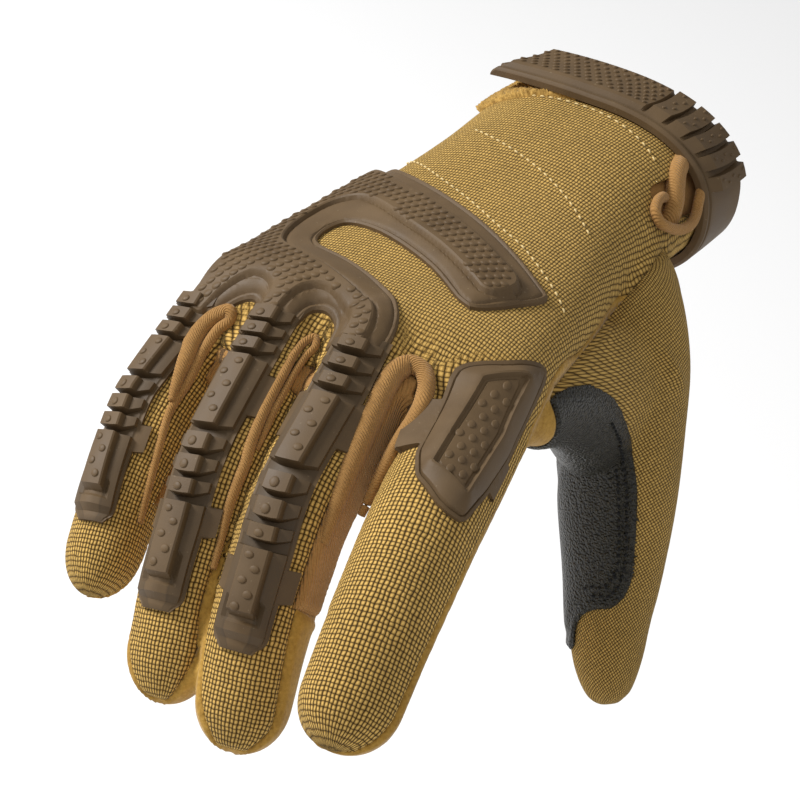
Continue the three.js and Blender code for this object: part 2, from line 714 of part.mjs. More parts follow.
const MATERIALS = {
  knit: { color: 0xa8925c, roughness: 0.95 },
  suede: { color: 0xb0853c, roughness: 0.9 },
  stretch: { color: 0xb88a58, roughness: 0.85 },
  rubber: { color: 0x5f5443, roughness: 0.6 },
  leather: { color: 0x2f2f30, roughness: 0.75 },
  fuzz: { color: 0xa88c4c, roughness: 1 },
};

function piece(name, shape, finish) {
  const { vertProperties, triVerts } = shape.getMesh();
  const geometry = new THREE.BufferGeometry();
  geometry.setAttribute('position', new THREE.BufferAttribute(vertProperties, 3));
  geometry.setIndex(new THREE.BufferAttribute(triVerts, 1));
  geometry.computeVertexNormals();
  const material = new THREE.MeshStandardMaterial({ ...MATERIALS[finish], metalness: 0 });
  const mesh = new THREE.Mesh(geometry, material);
  mesh.name = name;
  return mesh;
}

const glove = new THREE.Group();
glove.add(
  piece('back_panel', backPanel, 'knit'),
  piece('palm_panel', palmPanel, 'suede'),
  piece('thumb_shell', thumbShell, 'knit'),
  piece('fourchette_index_middle', fourchettes[0], 'stretch'),
  piece('fourchette_middle_ring', fourchettes[1], 'stretch'),
  piece('fourchette_ring_pinky', fourchettes[2], 'stretch'),
  piece('knuckle_guard', knuckleGuard, 'rubber'),
  piece('index_guard', indexGuard, 'rubber'),
  piece('thumb_patch', thumbPatch, 'leather'),
  piece('wrist_strap', wristStrap, 'rubber'),
  piece('hook_patch', hookPatch, 'fuzz'),
  piece('slit_binding', slitBinding, 'stretch'),
);

export default glove;
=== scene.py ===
import math
import bpy
import numpy as np
from mathutils import Matrix, Vector
from mathutils.bvhtree import BVHTree


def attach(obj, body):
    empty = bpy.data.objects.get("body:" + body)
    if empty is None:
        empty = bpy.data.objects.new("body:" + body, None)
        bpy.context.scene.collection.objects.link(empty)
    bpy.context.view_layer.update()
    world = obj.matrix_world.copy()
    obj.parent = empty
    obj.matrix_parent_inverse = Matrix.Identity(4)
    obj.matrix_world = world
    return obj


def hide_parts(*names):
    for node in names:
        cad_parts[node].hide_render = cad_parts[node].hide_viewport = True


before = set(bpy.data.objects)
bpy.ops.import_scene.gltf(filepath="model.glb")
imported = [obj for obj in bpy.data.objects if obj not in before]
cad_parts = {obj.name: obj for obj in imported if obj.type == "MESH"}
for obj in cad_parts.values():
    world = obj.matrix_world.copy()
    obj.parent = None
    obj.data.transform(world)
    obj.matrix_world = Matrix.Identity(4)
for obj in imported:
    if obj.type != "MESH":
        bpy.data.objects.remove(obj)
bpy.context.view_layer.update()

MM = 0.001

# Hand form. Tables are in millimetres and degrees, in the frame of the part.
ROUND = 2.3  # power of the hand's rounded outline
PALM = np.array([
    # t, x, z, half, back, palm, tilt
    (-3, 0, 0, 33.5, 20.5, 21.5, 0), (9, 0, 0, 33.5, 20.5, 21.5, 0),
    (20, -0.5, 0, 34, 21.5, 22, 2), (42, -1, -0.5, 34.5, 21, 22, 5),
    (64, -2, -1, 37, 18.5, 22, 6), (90, -2, -1.5, 42, 17, 21, 7),
    (115, -2, -2, 46, 16.5, 20, 7), (136, -1, -4, 48.5, 17, 16.5, 6),
    (150, -0.5, -8, 45, 10, 9.5, 9),
], float)
BEND_LENGTH = 18  # a joint bends over this length
TIP_LENGTH = 13  # length of a finger's rounded tip
FINGER_START = -34  # each finger starts inside the hand, before its knuckle
FINGERS = {
    "index": dict(knuckle=(33.5, -133, -4), spread=14.5, roll=6, bend=(8, 16, 13),
                  joints=(48, 76), length=104.5, half=(13.2, 13, 12.4), depth=(12.2, 12, 11)),
    "middle": dict(knuckle=(8, -136, 3.5), spread=2, roll=-8, bend=(27, 22, 13),
                   joints=(49, 79), length=107, half=(12.4, 12.4, 12), depth=(12, 11.8, 11)),
    "ring": dict(knuckle=(-16, -135, 0), spread=-1, roll=-14, bend=(29, 17, 10),
                 joints=(45, 73), length=101, half=(12, 11.8, 11.2), depth=(11.6, 11.2, 10.4)),
    "pinky": dict(knuckle=(-39.5, -129, -8), spread=-15, roll=-29, bend=(31, 10, 8),
                  joints=(36, 58), length=83, half=(11.2, 10.8, 10.2), depth=(10.8, 10.2, 9.6)),
}
THUMB = np.array([
    # x, y, z, half, depth
    (16, -40, -8, 17, 15), (27, -52, -14, 19, 17), (36, -61, -24, 18.5, 17),
    (42, -67, -38, 16.5, 15.5), (47.5, -74, -56, 15, 14), (52.5, -81.5, -70, 12.7, 12),
    (56, -88, -80, 10.8, 10.5), (60, -94.5, -88, 9, 9), (63.5, -99, -94, 6, 6),
    (65, -100.5, -96.5, 2.6, 2.6),
], float)
WEB = np.array([
    (34, -138, -12, 6, 6), (37, -120, -10, 8, 9), (38, -104, -12, 9, 12),
    (38.5, -88, -18, 11, 16), (39, -74, -26, 13, 20), (37, -62, -28, 13, 18),
], float)
WALL = 1.7  # thickness of the cloth
FORM_STEP = 1.1  # size of the remeshed form's faces


def spline(xs, ys, x):
    """Smooth curve through a table's points."""
    xs, ys, x = np.asarray(xs, float), np.asarray(ys, float), np.asarray(x, float)
    slopes = np.gradient(ys, xs)
    i = np.clip(np.searchsorted(xs, x) - 1, 0, len(xs) - 2)
    h = xs[i + 1] - xs[i]
    u = np.clip((x - xs[i]) / h, 0, 1)
    return ((2 * u**3 - 3 * u**2 + 1) * ys[i] + (u**3 - 2 * u**2 + u) * h * slopes[i]
            + (3 * u**2 - 2 * u**3) * ys[i + 1] + (u**3 - u**2) * h * slopes[i + 1])


def smooth(x, a=0.0, b=1.0):
    k = np.clip((np.asarray(x, float) - a) / (b - a), 0, 1)
    return k * k * (3 - 2 * k)


def mix(a, b, k):
    return a + (b - a) * k


def unit(v):
    return v / np.maximum(np.linalg.norm(v, axis=-1, keepdims=True), 1e-9)


def point_on(line, stations, s):
    """Points of a line of points, by their stations along it."""
    return np.stack([np.interp(s, stations, line[:, k]) for k in range(3)], -1)


def nearest_index(points, places):
    """The number of the place nearest to each point."""
    best = np.full(len(points), 1e9)
    index = np.zeros(len(points), int)
    for k, place in enumerate(places):
        d = ((points - place) ** 2).sum(1)
        near = d < best
        best[near], index[near] = d[near], k
    return index


# Surfaces of the form

def palm_row(t):
    return [spline(PALM[:, 0], PALM[:, k], t) for k in range(1, 7)]


def from_section(t, x, z):
    cx, cz, _, _, _, tilt = palm_row(t)
    k = np.radians(tilt)
    return np.stack([cx + x * np.cos(k) - z * np.sin(k), -np.asarray(t, float) + 0 * x,
                     cz + x * np.sin(k) + z * np.cos(k)], -1)


def round_hand(t, degrees, lift):
    """Point round the hand, 0 degrees is the thumb side and 90 the back."""
    _, _, half, back, palm, _ = palm_row(t)
    c, s = np.cos(np.radians(degrees)), np.sin(np.radians(degrees))
    height = np.where(s > 0, back, palm) + lift
    x = (half + lift) * np.sign(c) * np.abs(c) ** (2 / ROUND)
    z = height * np.sign(s) * np.abs(s) ** (2 / ROUND)
    return from_section(t, x, z)


def on_back(x, t, lift):
    _, _, half, back, _, _ = palm_row(t)
    z = (back + lift) * np.maximum(1 - np.abs(x / (half + lift)) ** ROUND, 0) ** (1 / ROUND)
    return from_section(t, x, z)


class Finger:
    def __init__(self, name):
        f = FINGERS[name]
        self.length = f["length"]
        spread, roll = math.radians(f["spread"]), math.radians(f["roll"])
        side0 = np.array([math.cos(spread), math.sin(spread), 0])
        up = np.array([0, 0, 1.0])
        ahead = np.array([math.sin(spread), -math.cos(spread), 0])
        self.side = side0 * math.cos(roll) - up * math.sin(roll)
        back = up * math.cos(roll) + side0 * math.sin(roll)
        step = 0.5
        self.s = np.arange(FINGER_START, self.length + 3, step)
        bent = np.zeros_like(self.s)
        for start, angle in zip((0, *f["joints"]), f["bend"]):
            bent += math.radians(angle) * smooth((self.s - start) / BEND_LENGTH + 0.5)
        way = ahead * np.cos(bent)[:, None] - back * np.sin(bent)[:, None]
        at = np.cumsum(way, 0) * step
        self.at = at - point_on(at, self.s, 0) + np.array(f["knuckle"])
        self.out = back * np.cos(bent)[:, None] + ahead * np.sin(bent)[:, None]
        self.way = way
        stations = (FINGER_START, 0, *f["joints"], self.length)
        h, d = f["half"], f["depth"]
        self.halves = spline(stations, (h[0] - 2, h[0], h[1], h[2], h[2] - 0.6), self.s)
        self.depths = spline(stations, (d[0] - 4, d[0], d[1], d[2], d[2] - 1), self.s)

    def on(self, s, degrees, lift):
        s = np.asarray(s, float)
        into = np.clip((s - self.length + TIP_LENGTH) / TIP_LENGTH, 0, 1)
        taper = np.sqrt(1 - into**2.2)
        half = (np.interp(s, self.s, self.halves) + lift) * taper
        depth = (np.interp(s, self.s, self.depths) + lift) * taper
        a = np.radians(degrees)
        return (point_on(self.at, self.s, s) + self.side * (half * np.cos(a))[..., None]
                + point_on(self.out, self.s, s) * (depth * np.sin(a))[..., None])

    def nearest(self, points):
        """Distance along the finger, degrees round it, and distance off its surface."""
        index = 2 * nearest_index(points, self.at[::2])
        d = points - self.at[index]
        s = self.s[index] + (d * self.way[index]).sum(1)
        a = (d @ self.side) / self.halves[index]
        b = (d * self.out[index]).sum(1) / self.depths[index]
        off = (np.hypot(a, b) - 1) * self.depths[index]
        return s, np.degrees(np.arctan2(b, a)), off


finger = {name: Finger(name) for name in FINGERS}


class Tube:
    def __init__(self, table):
        n = len(table)
        self.rows = np.arange(0, n - 0.999, 0.04)
        self.at = np.stack([spline(range(n), table[:, k], self.rows) for k in range(3)], -1)
        self.half = spline(range(n), table[:, 3], self.rows)
        self.depth = spline(range(n), table[:, 4], self.rows)
        self.way = unit(np.gradient(self.at, axis=0))
        self.side = unit(np.cross(self.way, (0, -1, 0)))
        self.out = np.cross(self.side, self.way)

    def on(self, row, degrees, lift):
        at, side, out = (point_on(v, self.rows, row) for v in (self.at, self.side, self.out))
        a = np.radians(degrees)
        half = np.interp(row, self.rows, self.half) + lift
        depth = np.interp(row, self.rows, self.depth) + lift
        return (at + unit(side) * (half * np.cos(a))[..., None]
                + unit(out) * (depth * np.sin(a))[..., None])

    def nearest(self, points):
        index = nearest_index(points, self.at)
        d = points - self.at[index]
        a = (d * self.side[index]).sum(1) / self.half[index]
        b = (d * self.out[index]).sum(1) / self.depth[index]
        off = (np.hypot(a, b) - 1) * self.depth[index]
        return self.rows[index], np.degrees(np.arctan2(b, a)), off


thumb, web = Tube(THUMB), Tube(WEB)


# Mesh helpers

def mesh_object(name, points, faces, material=None, smooth_angle=None):
    """Object from points in millimetres, with sharp edges above an angle in degrees."""
    mesh = bpy.data.meshes.new(name)
    mesh.from_pydata([tuple(p) for p in np.asarray(points) * MM], [], [tuple(f) for f in faces])
    mesh.update()
    obj = bpy.data.objects.new(name, mesh)
    bpy.context.scene.collection.objects.link(obj)
    if material:
        mesh.materials.append(material)
    mesh.polygons.foreach_set("use_smooth", [True] * len(mesh.polygons))
    if smooth_angle:
        mesh.set_sharp_from_angle(angle=math.radians(smooth_angle))
    return obj


def grid_faces(rows, columns, closed=False):
    index = np.arange(rows * columns).reshape(rows, columns)
    if closed:
        index = np.concatenate([index, index[:, :1]], 1)
    a, b, c, d = index[:-1, :-1], index[:-1, 1:], index[1:, 1:], index[1:, :-1]
    return np.stack([a, b, c, d], -1).reshape(-1, 4)


def triangles(quads):
    return np.concatenate([quads[:, [0, 1, 2]], quads[:, [0, 2, 3]]])


def attribute(obj, name, values):
    """Stores a number or a vector for each point of a mesh."""
    values = np.asarray(values, np.float32)
    kind, key = ("FLOAT_VECTOR", "vector") if values.ndim == 2 else ("FLOAT", "value")
    layer = obj.data.attributes.new(name, kind, "POINT")
    layer.data.foreach_set(key, values.ravel())


def thicken(obj, wall):
    """Gives a sheet a wall on its inner side."""
    mod = obj.modifiers.new("wall", "SOLIDIFY")
    mod.thickness, mod.offset = wall * MM, -1
    return mod


def groove(distance, middle, width, depth):
    """Depth of a rounded groove, by distance from an edge."""
    return depth * np.exp(-((distance - middle) / width) ** 2)


def closed_loft(rings):
    """Closed skin over rings of points, each end closed with a fan."""
    rows, columns = rings.shape[:2]
    points = rings.reshape(-1, 3)
    faces = [tuple(f) for f in grid_faces(rows, columns, True)]
    for end in (0, rows - 1):
        hub = len(points)
        points = np.concatenate([points, rings[end].mean(0)[None]])
        for i in range(columns):
            a, b = end * columns + i, end * columns + (i + 1) % columns
            faces.append((b, a, hub) if end == 0 else (a, b, hub))
    return points, faces


def edges_of(tris):
    return np.concatenate([tris[:, [0, 1]], tris[:, [1, 2]], tris[:, [2, 0]]])


def cut(points, tris, values, level, snap=0.06):
    """Splits triangles along the line where values equal level."""
    d = values - level
    d[np.abs(d) < snap] = 0
    sign = np.sign(d).astype(int)
    edges = edges_of(tris)
    crossing = sign[edges[:, 0]] * sign[edges[:, 1]] < 0
    pairs = np.sort(edges, 1)
    keys = pairs[:, 0] * len(points) + pairs[:, 1]
    unique, inverse = np.unique(keys[crossing], return_inverse=True)
    a, b = unique // len(points), unique % len(points)
    k = (d[a] / (d[a] - d[b]))[:, None]
    made = points[a] * (1 - k) + points[b] * k
    middle = np.full(len(edges), -1)
    middle[crossing] = len(points) + inverse
    middle = middle.reshape(3, -1).T
    count = (middle >= 0).sum(1)
    out = [tris[count == 0]]
    for turn in range(3):
        t = np.roll(tris, -turn, 1)
        m = np.roll(middle, -turn, 1)
        # Two crossed edges meet in the first corner
        two = (count == 2) & (m[:, 0] >= 0) & (m[:, 2] >= 0)
        x, y, z = t[two].T
        xy, zx = m[two, 0], m[two, 2]
        out += [np.stack([x, xy, zx], 1), np.stack([xy, y, z], 1), np.stack([xy, z, zx], 1)]
        # The crossed edge is opposite the first corner
        one = (count == 1) & (m[:, 1] >= 0)
        x, y, z = t[one].T
        yz = m[one, 1]
        out += [np.stack([x, y, yz], 1), np.stack([x, yz, z], 1)]
    return np.concatenate([points, made]), np.concatenate(out)


def keep(points, tris):
    """The points that the triangles use, and the triangles by their new numbers."""
    used = np.unique(tris)
    remap = np.full(len(points), -1)
    remap[used] = np.arange(len(used))
    return points[used], remap[tris]


def rim_edges(tris):
    """Edges that belong to one triangle only."""
    edges = edges_of(tris)
    keys = np.sort(edges, 1)
    _, first, count = np.unique(keys, axis=0, return_index=True, return_counts=True)
    return edges[first[count == 1]]


def polygon_distance(p, polygon):
    """Signed distance to a closed outline, below zero inside."""
    polygon = np.asarray(polygon, float)
    best = np.full(len(p), 1e9)
    inside = np.zeros(len(p), bool)
    for a, b in zip(polygon, np.roll(polygon, -1, 0)):
        e, w = b - a, p - a
        k = np.clip((w @ e) / (e @ e), 0, 1)
        best = np.minimum(best, np.linalg.norm(w - k[:, None] * e, axis=1))
        crosses = (a[1] > p[:, 1]) != (b[1] > p[:, 1])
        with np.errstate(divide="ignore", invalid="ignore"):
            x = a[0] + (p[:, 1] - a[1]) / (b[1] - a[1]) * e[0]
        inside ^= crosses & (p[:, 0] < x)
    return np.where(inside, -best, best)


def distance_to(outline):
    return lambda p: polygon_distance(p, outline)


def rounded(polygon, times=2, share=0.25):
    """Outline with its corners cut off a few times."""
    p = np.asarray(polygon, float)
    for _ in range(times):
        q = np.roll(p, -1, 0)
        p = np.stack([mix(p, q, share), mix(p, q, 1 - share)], 1).reshape(-1, 2)
    return p


# Materials

INPUTS = dict(color="Base Color", normal="Normal", roughness="Roughness",
              specular="Specular IOR Level", sheen="Sheen Weight",
              sheen_roughness="Sheen Roughness", sheen_tint="Sheen Tint")


class Look:
    """A material, with short calls for building its node tree."""

    def __init__(self, name):
        self.material = bpy.data.materials.new(name)
        self.material.use_nodes = True
        self.tree = self.material.node_tree
        self.tree.nodes.clear()
        out = self.new("OutputMaterial")
        self.shader = self.new("BsdfPrincipled")
        self.tree.links.new(self.shader.outputs[0], out.inputs[0])

    def finish(self, **values):
        for name, value in values.items():
            self.link(value, self.shader.inputs[INPUTS[name]])
        return self.material

    def new(self, kind):
        return self.tree.nodes.new("ShaderNode" + kind)

    def link(self, value, socket):
        if isinstance(value, bpy.types.NodeSocket):
            self.tree.links.new(value, socket)
        else:
            socket.default_value = value

    def math(self, op, a, b=0.0):
        n = self.new("Math")
        n.operation = op
        self.link(a, n.inputs[0])
        self.link(b, n.inputs[1])
        return n.outputs[0]

    def add(self, a, b):
        return self.math("ADD", a, b)

    def times(self, a, b):
        return self.math("MULTIPLY", a, b)

    def attribute(self, name, output="Fac"):
        n = self.new("Attribute")
        n.attribute_name = name
        return n.outputs[output]

    def join(self, x, y, z):
        n = self.new("CombineXYZ")
        for value, socket in zip((x, y, z), n.inputs):
            self.link(value, socket)
        return n.outputs[0]

    def position(self):
        return self.new("TexCoord").outputs["Object"]

    def noise(self, scale, detail=3.0, rough=0.55, vector=None):
        n = self.new("TexNoise")
        self.link(self.position() if vector is None else vector, n.inputs["Vector"])
        n.inputs["Scale"].default_value = scale
        n.inputs["Detail"].default_value = detail
        n.inputs["Roughness"].default_value = rough
        return n.outputs[0]

    def ramp(self, value, stops):
        n = self.new("ValToRGB")
        self.link(value, n.inputs[0])
        elements = n.color_ramp.elements
        while len(elements) < len(stops):
            elements.new(0.5)
        for e, (place, color) in zip(elements, stops):
            e.position = place
            e.color = (*color, 1)
        return n.outputs[0]

    def mix(self, factor, a, b, kind="RGBA", blend="MIX"):
        n = self.new("Mix")
        n.data_type = kind
        if kind == "RGBA":
            n.blend_type = blend
        sockets = {s.identifier: s for s in n.inputs}
        key = {"RGBA": "Color", "FLOAT": "Float"}[kind]
        self.link(factor, sockets["Factor_Float"])
        self.link(a, sockets["A_" + key])
        self.link(b, sockets["B_" + key])
        return {s.identifier: s for s in n.outputs}["Result_" + key]

    def bump(self, height, distance, strength=1.0, normal=None):
        n = self.new("Bump")
        n.inputs["Strength"].default_value = strength
        n.inputs["Distance"].default_value = distance * MM
        self.link(height, n.inputs["Height"])
        if normal is not None:
            self.link(normal, n.inputs["Normal"])
        return n.outputs[0]


def pillows(n, weave, across, along, side_power, end_power):
    """Height of a cloth of small raised stitches, and a random value for each stitch."""
    parts = n.new("SeparateXYZ")
    n.link(n.attribute(weave, "Vector"), parts.inputs[0])
    u, v = parts.outputs[0], parts.outputs[1]
    wobble = n.noise(0.35, 2.0, vector=n.join(u, v, 0.0))
    u = n.math("DIVIDE", n.add(u, n.times(wobble, 0.8)), across)
    v = n.math("DIVIDE", n.add(v, n.times(wobble, 0.8)), along)
    arches = []
    for w, power in ((u, side_power), (v, end_power)):
        f = n.math("FRACT", w)
        arch = n.times(n.times(f, n.math("SUBTRACT", 1.0, f)), 4.0)
        arches.append(n.math("POWER", arch, power))
    chance = n.new("TexWhiteNoise")
    n.link(n.join(n.math("FLOOR", u), n.math("FLOOR", v), 0.0), chance.inputs["Vector"])
    return n.times(*arches), chance.outputs["Value"]


def knit_material():
    n = Look("knit_fabric")
    blend = n.attribute("blend")
    hand, hand_chance = pillows(n, "weave_a", 0.88, 1.24, 0.42, 0.42)
    finger_part, finger_chance = pillows(n, "weave_b", 1.12, 1.1, 0.72, 0.38)
    height = n.mix(blend, hand, finger_part, "FLOAT")
    chance = n.mix(blend, hand_chance, finger_chance, "FLOAT")
    # Colour of the stitches from their height: near black in the gaps between them and light on their
    # tops, which is painted shade in the gaps
    base = n.ramp(height, [(0.12, (0.028, 0.015, 0.004)), (0.42, (0.11, 0.062, 0.013)),
                           (0.68, (0.32, 0.19, 0.048)), (1.0, (0.56, 0.36, 0.105))])
    tone = n.add(n.times(chance, 0.22), n.times(n.noise(45.0), 0.35))
    tone = n.add(tone, n.add(n.times(blend, 0.2), 0.72))
    fibre = n.bump(n.noise(3200.0, 2.0), 0.05, 0.5)
    return n.finish(color=n.mix(1.0, base, n.join(tone, tone, tone), blend="MULTIPLY"),
                    normal=n.bump(height, 0.34, 1.0, fibre), roughness=0.92, specular=0.18,
                    sheen=0.14, sheen_roughness=0.45, sheen_tint=(0.85, 0.66, 0.32, 1))


def plain_cloth(name, dark, light, fine, distance, sheen=0.15, scale=900.0, ribs=0):
    """Cloth or suede with a fine random grain, and ribs at a distance in millimetres."""
    n = Look(name)
    grain = n.noise(scale, 4.0, 0.7)
    value = n.add(n.times(grain, fine), n.times(n.noise(60.0), 1 - fine))
    normal = n.bump(grain, distance, 0.8)
    if ribs:
        run = n.times(n.attribute("run"), 2 * math.pi / ribs)
        normal = n.bump(n.math("SINE", run), 0.11, 1.0, normal)
    return n.finish(color=n.ramp(value, [(0.32, dark), (0.68, light)]), normal=normal,
                    roughness=0.9, specular=0.2, sheen=sheen, sheen_roughness=0.4)


def rubber_material():
    """Worn rubber with specks of dust, with painted shade in the strips' grooves and on their facets
    from a point attribute.
    """
    n = Look("guard_rubber")
    large = n.noise(90.0)
    dust = n.math("GREATER_THAN", n.noise(900.0, 1.0), 0.75)
    color = n.ramp(large, [(0.3, (0.095, 0.058, 0.026)), (0.7, (0.128, 0.08, 0.037))])
    color = n.mix(n.times(dust, 0.3), color, (0.27, 0.205, 0.12, 1))
    # Painted shade: a dark colour mixed in by the share that a point attribute gives
    color = n.mix(n.attribute("painted_shade"), color, (0.012, 0.009, 0.005, 1))
    return n.finish(color=color, normal=n.bump(n.noise(2600.0), 0.06, 0.6), specular=0.26,
                    roughness=n.ramp(large, [(0.3, (0.52,) * 3), (0.7, (0.64,) * 3)]))


def leather_material():
    n = Look("grip_leather")
    cells = n.new("TexVoronoi")
    cells.feature = "SMOOTH_F1"
    n.link(n.position(), cells.inputs["Vector"])
    cells.inputs["Scale"].default_value = 1700.0
    pebbles = cells.outputs["Distance"]
    height = n.math("SUBTRACT", n.times(n.noise(2500.0), 0.25), pebbles)
    # Colour from the pebbles: lighter on them and nearly black in the creases between them, which is
    # painted shade in the creases
    color = n.ramp(pebbles, [(0.1, (0.032, 0.027, 0.014)), (0.7, (0.004, 0.0035, 0.002))])
    return n.finish(color=color, normal=n.bump(height, 0.95), roughness=0.38, specular=0.4)


def plain_material(name, color, roughness=0.8):
    return Look(name).finish(color=(*color, 1), roughness=roughness)


KNIT = knit_material()
SUEDE = plain_cloth("suede", (0.25, 0.13, 0.022), (0.5, 0.295, 0.06), 0.6, 0.22, 0.2)
STRETCH = plain_cloth("stretch_trim", (0.3, 0.15, 0.043), (0.48, 0.262, 0.088), 0.55, 0.12, 0.1,
                      1700.0, 0.75)
LINING = plain_cloth("lining", (0.5, 0.3, 0.14), (0.66, 0.43, 0.22), 0.5, 0.1)
RUBBER = rubber_material()
LEATHER = leather_material()
HOOK = plain_cloth("hook_loop", (0.2, 0.105, 0.02), (0.6, 0.37, 0.1), 0.75, 0.6, 0.1, 700.0)
THREAD = plain_material("stitch_thread", (0.7, 0.53, 0.24))
BLACK_THREAD = plain_material("black_thread", (0.002, 0.002, 0.002), 0.9)


def ride(obj, *nodes, slot=None):
    """Puts a piece on the body, in place of the solids that it covers."""
    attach(obj, "root")
    if nodes:
        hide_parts(*nodes)
    return obj


# Form: lofts of the hand, fingers, thumb and web, joined by remeshing

def make_form():
    wide, narrow = np.linspace(0, 360, 97)[:-1], np.linspace(0, 360, 49)[:-1]
    stations = np.linspace(PALM[0, 0], PALM[-1, 0], 100)
    parts = [np.stack([round_hand(np.full(96, t), wide, 0) for t in stations])]
    for f in finger.values():
        straight = np.linspace(-30, f.length - TIP_LENGTH, 90)
        tip = f.length - TIP_LENGTH * (1 - np.sin(np.linspace(0.05, 1.55, 14)))
        stations = np.concatenate([straight, tip])
        parts.append(np.stack([f.on(np.full(48, s), narrow, 0) for s in stations]))
    for tube in (thumb, web):
        rows = np.linspace(0, tube.rows[-1], 70)
        parts.append(np.stack([tube.on(np.full(48, r), narrow, 0) for r in rows]))
    points, faces = [], []
    for rings in parts:
        p, f = closed_loft(rings)
        start = sum(len(q) for q in points)
        points.append(p)
        faces += [tuple(i + start for i in face) for face in f]
    obj = mesh_object("form", np.concatenate(points), faces)
    mod = obj.modifiers.new("join", "REMESH")
    mod.mode = "VOXEL"
    mod.voxel_size = FORM_STEP * MM
    mod = obj.modifiers.new("even", "SMOOTH")
    mod.factor, mod.iterations = 0.5, 8
    made = obj.evaluated_get(bpy.context.evaluated_depsgraph_get()).to_mesh()
    made.calc_loop_triangles()
    places, normals = np.empty((2, len(made.vertices) * 3))
    made.vertices.foreach_get("co", places)
    made.vertices.foreach_get("normal", normals)
    tris = np.empty(len(made.loop_triangles) * 3, np.int32)
    made.loop_triangles.foreach_get("vertices", tris)
    obj.to_mesh_clear()
    bpy.data.objects.remove(obj)
    places, tris = places.reshape(-1, 3) / MM, tris.reshape(-1, 3).astype(int)
    a, b, c = (places[tris[:, k]] for k in range(3))
    if (a * np.cross(b, c)).sum() < 0:
        tris = tris[:, ::-1]
    return places, normals.reshape(-1, 3), tris


form_points, form_normals, form_tris = make_form()
tree = BVHTree.FromPolygons([tuple(p) for p in form_points], [tuple(map(int, t)) for t in form_tris])


def lay(low, high):
    """Points on the form on the lines from high to low."""
    out = np.array(low, float).reshape(-1, 3)
    way = unit(np.asarray(high, float).reshape(-1, 3) - out)
    for i in range(len(out)):
        hit = tree.ray_cast(Vector(out[i] + way[i] * 16), Vector(-way[i]), 30)[0]
        if hit is not None:
            out[i] = hit
    return out.reshape(np.shape(low))


def lay_back(x, t, lift):
    base = on_back(x, t, 0)
    return lay(base, on_back(x, t, 10)) + on_back(x, t, lift) - base


def lay_finger(f, s, degrees, lift):
    base = f.on(s, degrees, 0)
    return lay(base, f.on(s, degrees, 10)) + f.on(s, degrees, lift) - base


# Panels of cloth: every point of the form carries its distance to each seam
THUMB_SEAM = dict(top=(34, -40), bottom=(45, -116), lean=0.5)
# Fourchettes: finger on each side, degrees to each side of its middle, where they end, and
# how far the first finger's middle lies below its side
FOURCHETTES = [("middle", "index", 34, 16, 71, 0), ("ring", "middle", 20, 18, 66, 8),
               ("pinky", "ring", 16, 16, 57, 38)]
FOURCHETTE_LOW = 22
FOURCHETTE_START = 8
# Degrees round each finger where the back of cloth ends, by distance along the finger
SEAMS = {
    "index": dict(right=((0, -8), (30, -4), (45, 2), (53, 6), (65, 11), (74, 14), (89, 20),
                         (104, 22)), left=((0, 196), (104, 196)), tip=110),
    "middle": dict(right=((0, -12), (50, -12), (64, 22), (72, 29), (88, 22), (99, 17), (106, 34)),
                   left=((0, 196), (60, 196), (68, 176), (82, 150), (93, 132), (103, 112)), tip=106),
    "ring": dict(right=((0, -12), (50, -8), (61, 26), (68, 32), (77, 35), (88, 28), (100, 40)),
                 left=((0, 196), (50, 196), (57, 166), (70, 156), (85, 146), (99, 118)), tip=100.4),
    "pinky": dict(right=((0, -14), (14, -38), (60, -50), (83, -48)), left=((0, 196), (83, 196)),
                  tip=90),
}
CROTCH = dict(s=17, half=4.4, length=6, low=-12, high=7)
SLIT = dict(depth=41, half=4.6, angles=((20, 14), (44, 23)))
THUMB_WEAVE_TURN = 35
THUMB_AXIS = ((30, -56, -10), (62, -97, -92))
ROUND_FINGER, ROUND_CUFF = 12, 33.8  # radii that turn an angle into a distance round them
SEAM_LOW = 0.218  # the hand's seam lies this share of the palm's depth below its middle
OUTSIDE = -9

# Distance round the hand's section of half width 1, by its angle
turn = np.radians(np.arange(-180, 181, 2.0))
ring_x = np.sign(np.cos(turn)) * np.abs(np.cos(turn)) ** (2 / ROUND)
ring_z = 0.45 * np.sign(np.sin(turn)) * np.abs(np.sin(turn)) ** (2 / ROUND)
ring_arc = np.concatenate([[0], np.cumsum(np.hypot(np.diff(ring_x), np.diff(ring_z)))])


def hand_coordinates(points):
    """Section place, width along the surface from the middle of the back, and station."""
    t = -points[:, 1]
    cx, cz, half, back, palm, tilt = palm_row(t)
    k = np.radians(tilt)
    dx, dz = points[:, 0] - cx, points[:, 2] - cz
    x = dx * np.cos(k) + dz * np.sin(k)
    z = -dx * np.sin(k) + dz * np.cos(k)
    height = np.where(z > 0, back, palm)
    angle = np.arctan2(np.sign(z) * np.abs(z / height) ** (ROUND / 2),
                       np.sign(x) * np.abs(x / half) ** (ROUND / 2))
    arc = (np.interp(np.pi / 2, turn, ring_arc) - np.interp(angle, turn, ring_arc)) * half
    return x, z + palm * SEAM_LOW, arc, t


